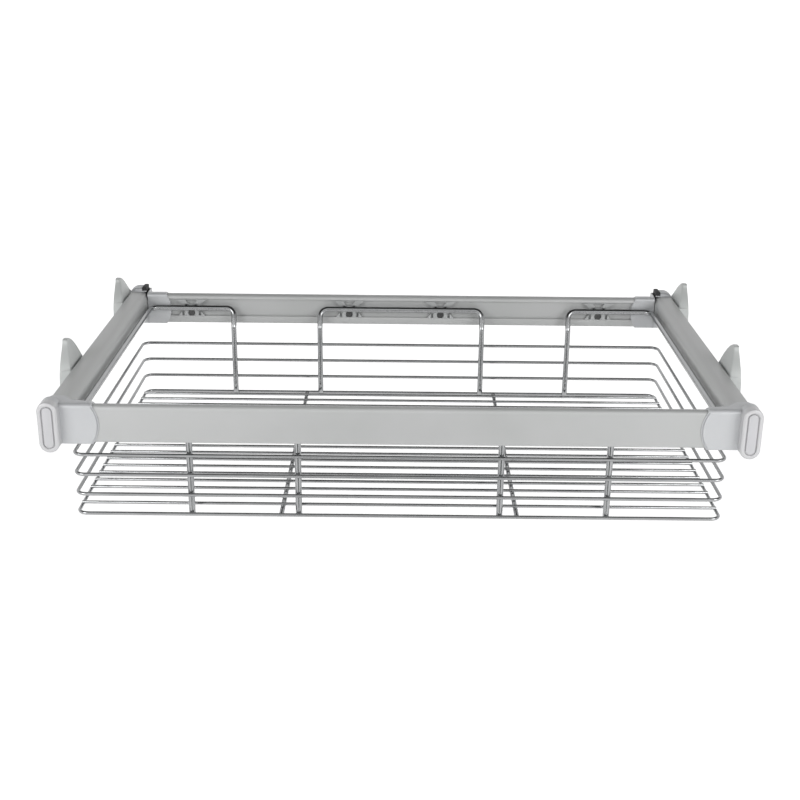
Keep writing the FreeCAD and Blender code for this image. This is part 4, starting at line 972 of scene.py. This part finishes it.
def softLamp(name, place, target, width, height, power):
    lamp = bpy.data.lights.new(name, "AREA")
    lamp.shape = "RECTANGLE"
    lamp.size = width
    lamp.size_y = height
    lamp.energy = power
    holder = bpy.data.objects.new(name, lamp)
    bpy.context.scene.collection.objects.link(holder)
    holder.location = place
    holder.rotation_euler = (Vector(target) - Vector(place)).to_track_quat("-Z", "Y").to_euler()


def flag(name, middle, width, depth, colour, blocks):
    # A studio card out of the camera's sight, that takes light off the object or only shows in its gloss.
    bpy.ops.object.select_all(action="DESELECT")
    bpy.ops.mesh.primitive_plane_add(size=1, location=middle)
    card = bpy.context.object
    card.name = name
    card.scale = (width, depth, 1)
    material, nodes, links, shader = newMaterial(name)
    shader.inputs["Base Color"].default_value = (*colour, 1)
    shader.inputs["Roughness"].default_value = 1
    shader.inputs["Specular IOR Level"].default_value = 0
    card.data.materials.append(material)
    card.visible_camera = False
    card.visible_shadow = blocks
    card.visible_diffuse = blocks


def makeLights():
    lamps = {"leftSide": dict(place=(-1.6, -1.5, 0.95), power=13.5),
             "rightSide": dict(place=(1.6, -1.5, 0.95), power=14.5)}
    cards = {"overheadCard": dict(middle=(0, 0.1, 1.6), width=5, depth=2.6, colour=(0.08, 0.08, 0.08),
                                  blocks=True),
             "frontCard": dict(middle=(0, -1.75, -0.38), width=0.7, depth=1.5, colour=(0.1, 0.12, 0.11),
                               blocks=False)}
    for name, lamp in lamps.items():
        softLamp(name, target=(0, 0, 0.1), width=1.0, height=0.8, **lamp)
    for name, card in cards.items():
        flag(name, **card)


def makeCamera():
    view = dict(lens=55.95, sensor=36, place=(-0.0006, -1.6051, 0.6730), pitch=20.495, yaw=0.013, roll=0.571)
    data = bpy.data.cameras.new("photoCamera")
    data.lens = view["lens"]
    data.sensor_width = view["sensor"]
    data.sensor_fit = "AUTO"
    camera = bpy.data.objects.new("photoCamera", data)
    bpy.context.scene.collection.objects.link(camera)
    turn = (Matrix.Rotation(math.radians(-view["yaw"]), 3, "Z")
            @ Matrix.Rotation(math.radians(90 - view["pitch"]), 3, "X")
            @ Matrix.Rotation(math.radians(view["roll"]), 3, "Z"))
    camera.matrix_world = Matrix.Translation(Vector(view["place"])) @ turn.to_4x4()
    bpy.context.scene.camera = camera
    bpy.context.scene.view_settings.view_transform = "Standard"


makeStage()
makeWorld()
makeLights()
makeCamera()
print("stage, lights and camera placed")
